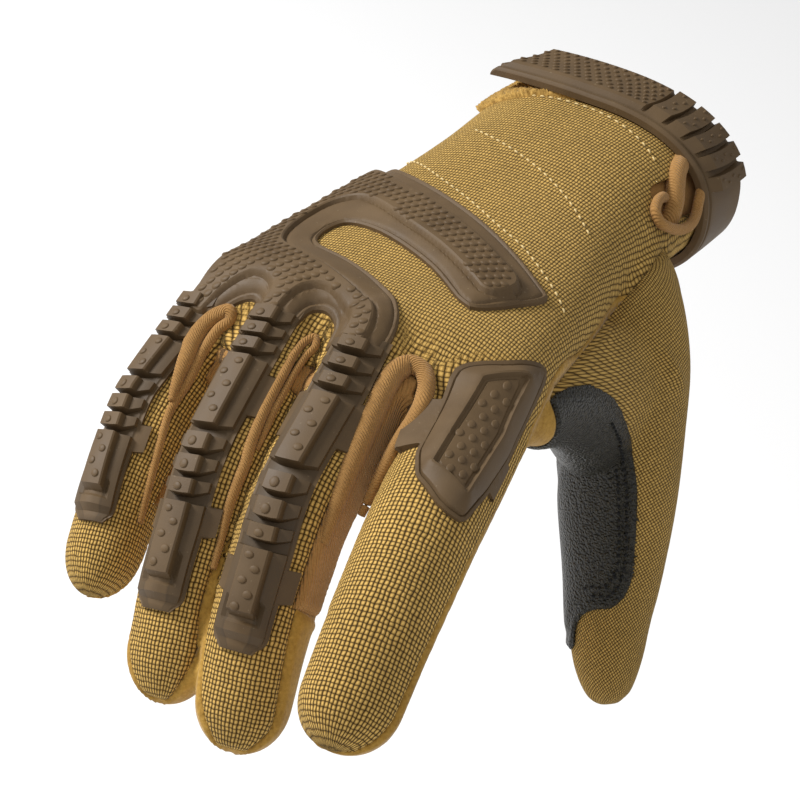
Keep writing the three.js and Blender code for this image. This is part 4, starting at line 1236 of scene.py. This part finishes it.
def curve_points(controls, step=0.5):
    c = np.asarray(controls, float)
    lengths = np.concatenate([[0], np.cumsum(np.linalg.norm(np.diff(c[:, :3], axis=0), axis=1))])
    at = np.arange(0, lengths[-1] + step / 2, step)
    return np.stack([spline(lengths, c[:, k], at) for k in range(c.shape[1])], -1)


def nearest_out(points):
    """Outward direction of the form at the nearest place of it."""
    return np.array([tuple(tree.find_nearest(Vector(p))[1]) for p in points])


def sweep(name, path, radius, look, flat=1.0, sides=16, out=None):
    """Round or flattened cord along a path of points in millimetres."""
    way = unit(np.gradient(path, axis=0))
    out = nearest_out(path) if out is None else np.broadcast_to(out, path.shape)
    out = unit(out - way * (out * way).sum(1, keepdims=True))
    side = np.cross(way, out)
    radius = np.broadcast_to(radius, len(path))[:, None, None]
    a = np.linspace(0, 2 * np.pi, sides + 1)[:-1]
    rings = (path[:, None] + side[:, None] * (np.cos(a)[None, :, None] * radius)
             + out[:, None] * (np.sin(a)[None, :, None] * radius * flat))
    points, faces = closed_loft(rings)
    obj = mesh_object(name, points, faces, look)
    steps = np.linalg.norm(np.diff(path, axis=0), axis=1)
    run = np.concatenate([[0], np.cumsum(steps)])[:, None] + np.cos(a)[None] * radius[:, :, 0] * 0.8
    attribute(obj, "run", np.append(run.ravel(), (run[0, 0], run[-1, 0])))
    return obj


# Folded trim in the notches between the fingers: x, y, z and radius
FOLDS = {
    "fold_index_middle": [
        (27.4, -176, -14, 1.0), (27, -171, -9.5, 1.5), (26.8, -165.5, -5, 1.9),
        (27, -160, -0.6, 2.1), (27.4, -155.5, 2.6, 2.2), (26.8, -150.6, 6, 2.2),
        (25, -147, 8.2, 2.2), (22.3, -145, 9.2, 2.3), (19.6, -145.2, 9.4, 2.5),
        (17.8, -148.4, 8.6, 2.8), (17.7, -153, 6.4, 2.9), (18.6, -158.6, 3.2, 2.9),
        (19.6, -164, 0, 2.8), (20.6, -169.6, -3.4, 2.6), (21.8, -175.4, -7.2, 2.3),
        (23, -181, -12, 1.9), (24.2, -186.6, -18, 1.2),
    ],
    "fold_middle_ring": [
        (-3.6, -173.5, -10.3, 0.6), (-4.4, -168.8, -7.2, 0.8), (-5.2, -164.3, -4.2, 0.9),
        (-5.7, -159.6, -1.6, 0.9), (-6.2, -153.9, 1.6, 0.9), (-6.3, -150, 3.5, 0.9),
        (-5.7, -147, 5.2, 1.0), (-6.9, -145.4, 6.3, 1.05), (-8.2, -147.6, 5.7, 1.0),
        (-8.5, -151, 4.4, 1.0), (-8, -155.7, 1.9, 1.15), (-7.3, -163, -2.2, 1.3),
        (-6.6, -167.5, -4.8, 1.35), (-5.2, -173.8, -8.9, 1.4), (-3.9, -177.9, -12.2, 1.4),
        (-3, -182.9, -16.3, 1.3), (-2.1, -187.1, -20.7, 1.15), (-0.5, -191.7, -26.1, 0.9),
        (0.6, -195.7, -30.6, 0.8),
    ],
    "fold_ring_pinky": [
        (-26.8, -185.6, -35.2, 0.8), (-28.8, -179.6, -28.5, 0.9), (-31.3, -172.3, -21.2, 1.0),
        (-33.2, -165.9, -15.7, 1.0), (-33.5, -159, -11.7, 1.2), (-34.2, -150.3, -5.3, 1.4),
        (-33, -146.9, -1.3, 1.5), (-31.4, -144.4, 1.4, 1.5), (-32.4, -143.4, 2.5, 1.7),
        (-35, -144, 1, 2.0), (-37.3, -146.4, -2, 2.2), (-37.7, -150.5, -4.7, 2.3),
        (-36.8, -154.5, -7.1, 2.1), (-35.8, -158.6, -9.7, 1.6), (-34.7, -162.3, -12.2, 1.2),
        (-33.9, -164.5, -13.8, 0.8),
    ],
}
# Elastic edge of the cuff's slit: a loop on the back of the cuff and a tube into it
SLIT_LOOP = [(28.9, -33.4, 10.4), (29.6, -36.5, 12.2), (30.2, -40.6, 12.8), (31.6, -44, 11.6),
             (33.3, -44.2, 9.6), (34.6, -41.4, 7.4), (35.4, -37.4, 5.2), (35.7, -33, 3.7),
             (35.5, -28.6, 3.2), (34.8, -25, 4.4), (34, -22.8, 7), (33.2, -20.4, 9)]
SLIT_TUBE = [(25.6, -18, 14.6), (26.6, -21.5, 14.6), (28, -26, 14), (29.7, -29.4, 12),
             (31.2, -32, 9.2), (31.6, -34, 6.2), (30.6, -35.6, 3.4)]


def make_folds():
    for name, rows in FOLDS.items():
        path = curve_points(rows, 0.6)
        ride(sweep(name, path[:, :3], path[:, 3], STRETCH, 0.9))
    ride(sweep("slit_binding", curve_points(SLIT_LOOP, 0.4), 1.45, STRETCH),
         "slit_binding", slot="stretch_trim")
    ride(sweep("slit_fold", curve_points(SLIT_TUBE, 0.4), 2.6, STRETCH))


# Leather patch over the web and the inner side of the thumb, by its angle round the
# thumb and its height
PATCH = rounded([
    (100, -3), (108, -5), (113, -11), (116, -16), (119, -23), (126, -35), (132, -42),
    (136, -51), (140, -62), (137, -68), (124, -72), (102, -73), (86, -75), (70, -79),
    (62, -85), (20, -88), (-40, -84), (-45, -60), (-40, -40), (20, -22), (70, -8),
], 1)
PATCH_MM = 0.23  # millimetres in one degree round the thumb
PATCH_SCALE = np.array([PATCH_MM, 1.0])


def patch_distance(points):
    _, angle, _ = thumb.nearest(points)
    angle = (angle + 220) % 360 - 220
    flat = np.column_stack([angle * PATCH_MM, points[:, 2]])
    d = polygon_distance(flat, PATCH * PATCH_SCALE)
    away = np.maximum.reduce([-118 - points[:, 1], points[:, 1] + 40, 30 - points[:, 0]])
    return np.maximum(d, away)


def make_thumb_patch():
    middle = form_points[form_tris].mean(1)
    p, t = keep(form[:, :6], form_tris[(middle[:, 0] > 20) & (middle[:, 2] < 4)])
    p, t = cut(p, t, patch_distance(p[:, PLACE]), 0.0)
    p, t = keep(p, t[patch_distance(p[t][:, :, PLACE].mean(1)) < 0])
    inset = -patch_distance(p[:, PLACE])
    lift = 0.55 + 0.75 * smooth(inset, 0, 0.8) - groove(inset, 2.4, 1.3, 0.4)
    patch = mesh_object("thumb_patch", p[:, PLACE] + unit(p[:, NORMAL]) * lift[:, None], t, LEATHER)
    thicken(patch, 1.0)
    ride(patch, "thumb_patch", slot="grip_leather")


def stitches(name, path, length, gap, radius, lift, look):
    """Short rounded threads that lie along a path on the form."""
    steps = np.linalg.norm(np.diff(path, axis=0), axis=1)
    along = np.concatenate([[0], np.cumsum(steps)])
    starts = np.arange(0.2, along[-1] - length, length + gap)
    sizes = np.array([0.35, 0.85, 1.0, 0.85, 0.35])
    shares = np.array([0.0, 0.14, 0.5, 0.86, 1.0])
    raise_by = np.array([-0.3, 0.05, 0.12, 0.05, -0.3])
    turns = np.linspace(0, 2 * np.pi, 9)[:-1]
    points, faces = [], []
    for s0 in starts:
        s = s0 + shares * length
        c = point_on(path, along, s)
        way = unit(c[-1] - c[0])
        out = nearest_out(c[2:3])[0]
        out = unit(out - way * (out @ way))
        side = np.cross(way, out)
        c = c + out * (lift + raise_by * radius * 2)[:, None]
        ring = side * np.cos(turns)[:, None] + out * np.sin(turns)[:, None]
        rings = c[:, None] + ring[None] * (sizes * radius)[:, None, None]
        start = sum(len(q) for q in points)
        points.append(rings.reshape(-1, 3))
        faces += [tuple(int(i) + start for i in f) for f in grid_faces(5, 8, True)]
    ride(mesh_object(name, np.concatenate(points), faces, look))


# Section place and station on the back of the hand
STITCH_LINES = {
    "stitch_plate": [(-31.5, 57.5), (-14.3, 70.1), (1.2, 79), (13.2, 86), (21.7, 90),
                     (31.5, 96.3), (38.3, 100.8), (42, 104)],
    "stitch_wrist": [(-20, 44), (-14.9, 46.8), (-2, 52.6), (9, 57.6), (21.9, 65), (30.1, 70.8)],
    "stitch_strap": [(-24, 22.6), (-10, 22.8), (3.5, 23.4), (14, 25.6), (21, 28), (26.5, 31)],
}
PATCH_EDGE = [(103, -9), (108, -14.5), (112, -22), (119, -34), (125.5, -42), (129.5, -51),
              (132.5, -60), (129.5, -66.5), (119, -70), (102, -71), (87, -72.6)]
# How far each row of stitches is moved in from the patch's edge, and the height it starts at
PATCH_ROWS = (("stitch_patch_outer", -4.0, -12), ("stitch_patch_inner", -11.5, -39))


def on_thumb(degrees, height):
    """Point on the form at an angle round the thumb and a height."""
    row = []
    for a, z in zip(degrees, height):
        heights = thumb.on(thumb.rows, np.full(len(thumb.rows), a), 0)[:, 2]
        row.append(np.interp(-z, -heights, thumb.rows))
    return lay(thumb.on(np.array(row), degrees, 0), thumb.on(np.array(row), degrees, 10))


def make_stitches():
    for name, rows in STITCH_LINES.items():
        flat = curve_points(rows, 0.6)
        path = lay_back(flat[:, 0], flat[:, 1], np.zeros(len(flat)))
        stitches(name, path, 1.35, 1.25, 0.27, 0.2, THREAD)
    edge = curve_points(PATCH_EDGE, 0.8)
    for name, move, first in PATCH_ROWS:
        row = edge[edge[:, 1] < first]
        inward = np.where(row[:, 0] > 118, move, move * 0.5)
        height = row[:, 1] + np.where(row[:, 1] < -66, -move * PATCH_MM, 0)
        stitches(name, on_thumb(row[:, 0] + inward, height), 1.0, 0.85, 0.4, 1.2, BLACK_THREAD)


make_cloth()
make_plate()
for name in STRIPS:
    make_strip(name)
make_index_guard()
make_strap()
make_hook_patch()
make_folds()
make_thumb_patch()
make_stitches()


# Floor, light and camera

FLOOR_HALF, FLOOR_HEIGHT = 3000, -260
WHITE, WORLD_LIGHT = (1, 1, 1, 1), 0.43
LIGHT_TARGET = (0, -0.12, -0.02)
AZIMUTH, ELEVATION, CAMERA_ROLL = 27.5, 32.3, 6.95
# Millimetres: a place in the glove, and how far the camera is away from it and off to a side
CAMERA_TARGET, CAMERA_AWAY, CAMERA_RIGHT, CAMERA_UP = (0, -146, -10), 857, 16.4, 1.4
CAMERA_LENS, CAMERA_SENSOR = 160.16, 36


def area_light(name, at, size, power):
    data = bpy.data.lights.new(name, "AREA")
    data.shape, data.size, data.energy = "DISK", size, power
    lamp = bpy.data.objects.new(name, data)
    bpy.context.scene.collection.objects.link(lamp)
    lamp.location = at
    lamp.rotation_euler = (Vector(LIGHT_TARGET) - lamp.location).to_track_quat("-Z", "Y").to_euler()


def make_studio():
    corners = [(-1, -1), (1, -1), (1, 1), (-1, 1)]
    corners = [(x * FLOOR_HALF, y * FLOOR_HALF, FLOOR_HEIGHT) for x, y in corners]
    mesh_object("floor", corners, [(0, 1, 2, 3)],
                         plain_material("floor", (0.98, 0.98, 0.98), 0.9))
    world = bpy.data.worlds.new("studio")
    bpy.context.scene.world = world
    world.use_nodes = True
    color, strength = world.node_tree.nodes["Background"].inputs[:2]
    color.default_value, strength.default_value = WHITE, WORLD_LIGHT
    bpy.context.scene.view_settings.view_transform = "Standard"
    area_light("key", (-0.95, -0.38, 0.76), 0.4, 19)
    area_light("fill", (0.6, -0.9, 1.0), 0.9, 3.5)


def make_camera():
    azimuth, elevation, roll = map(math.radians, (AZIMUTH, ELEVATION, CAMERA_ROLL))
    back = Vector((math.sin(azimuth) * math.cos(elevation),
                   -math.cos(azimuth) * math.cos(elevation), math.sin(elevation)))
    level = Vector((math.cos(azimuth), math.sin(azimuth), 0))
    upright = back.cross(level)
    right = level * math.cos(roll) + upright * math.sin(roll)
    up = upright * math.cos(roll) - level * math.sin(roll)
    place = Vector(CAMERA_TARGET) + back * CAMERA_AWAY + right * CAMERA_RIGHT + up * CAMERA_UP
    data = bpy.data.cameras.new("camera")
    data.lens, data.sensor_width, data.clip_end = CAMERA_LENS, CAMERA_SENSOR, 20
    camera = bpy.data.objects.new("camera", data)
    bpy.context.scene.collection.objects.link(camera)
    axes = Matrix((right, up, back)).transposed().to_4x4()
    axes.translation = place * MM
    camera.matrix_world = axes
    bpy.context.scene.camera = camera


make_studio()
make_camera()
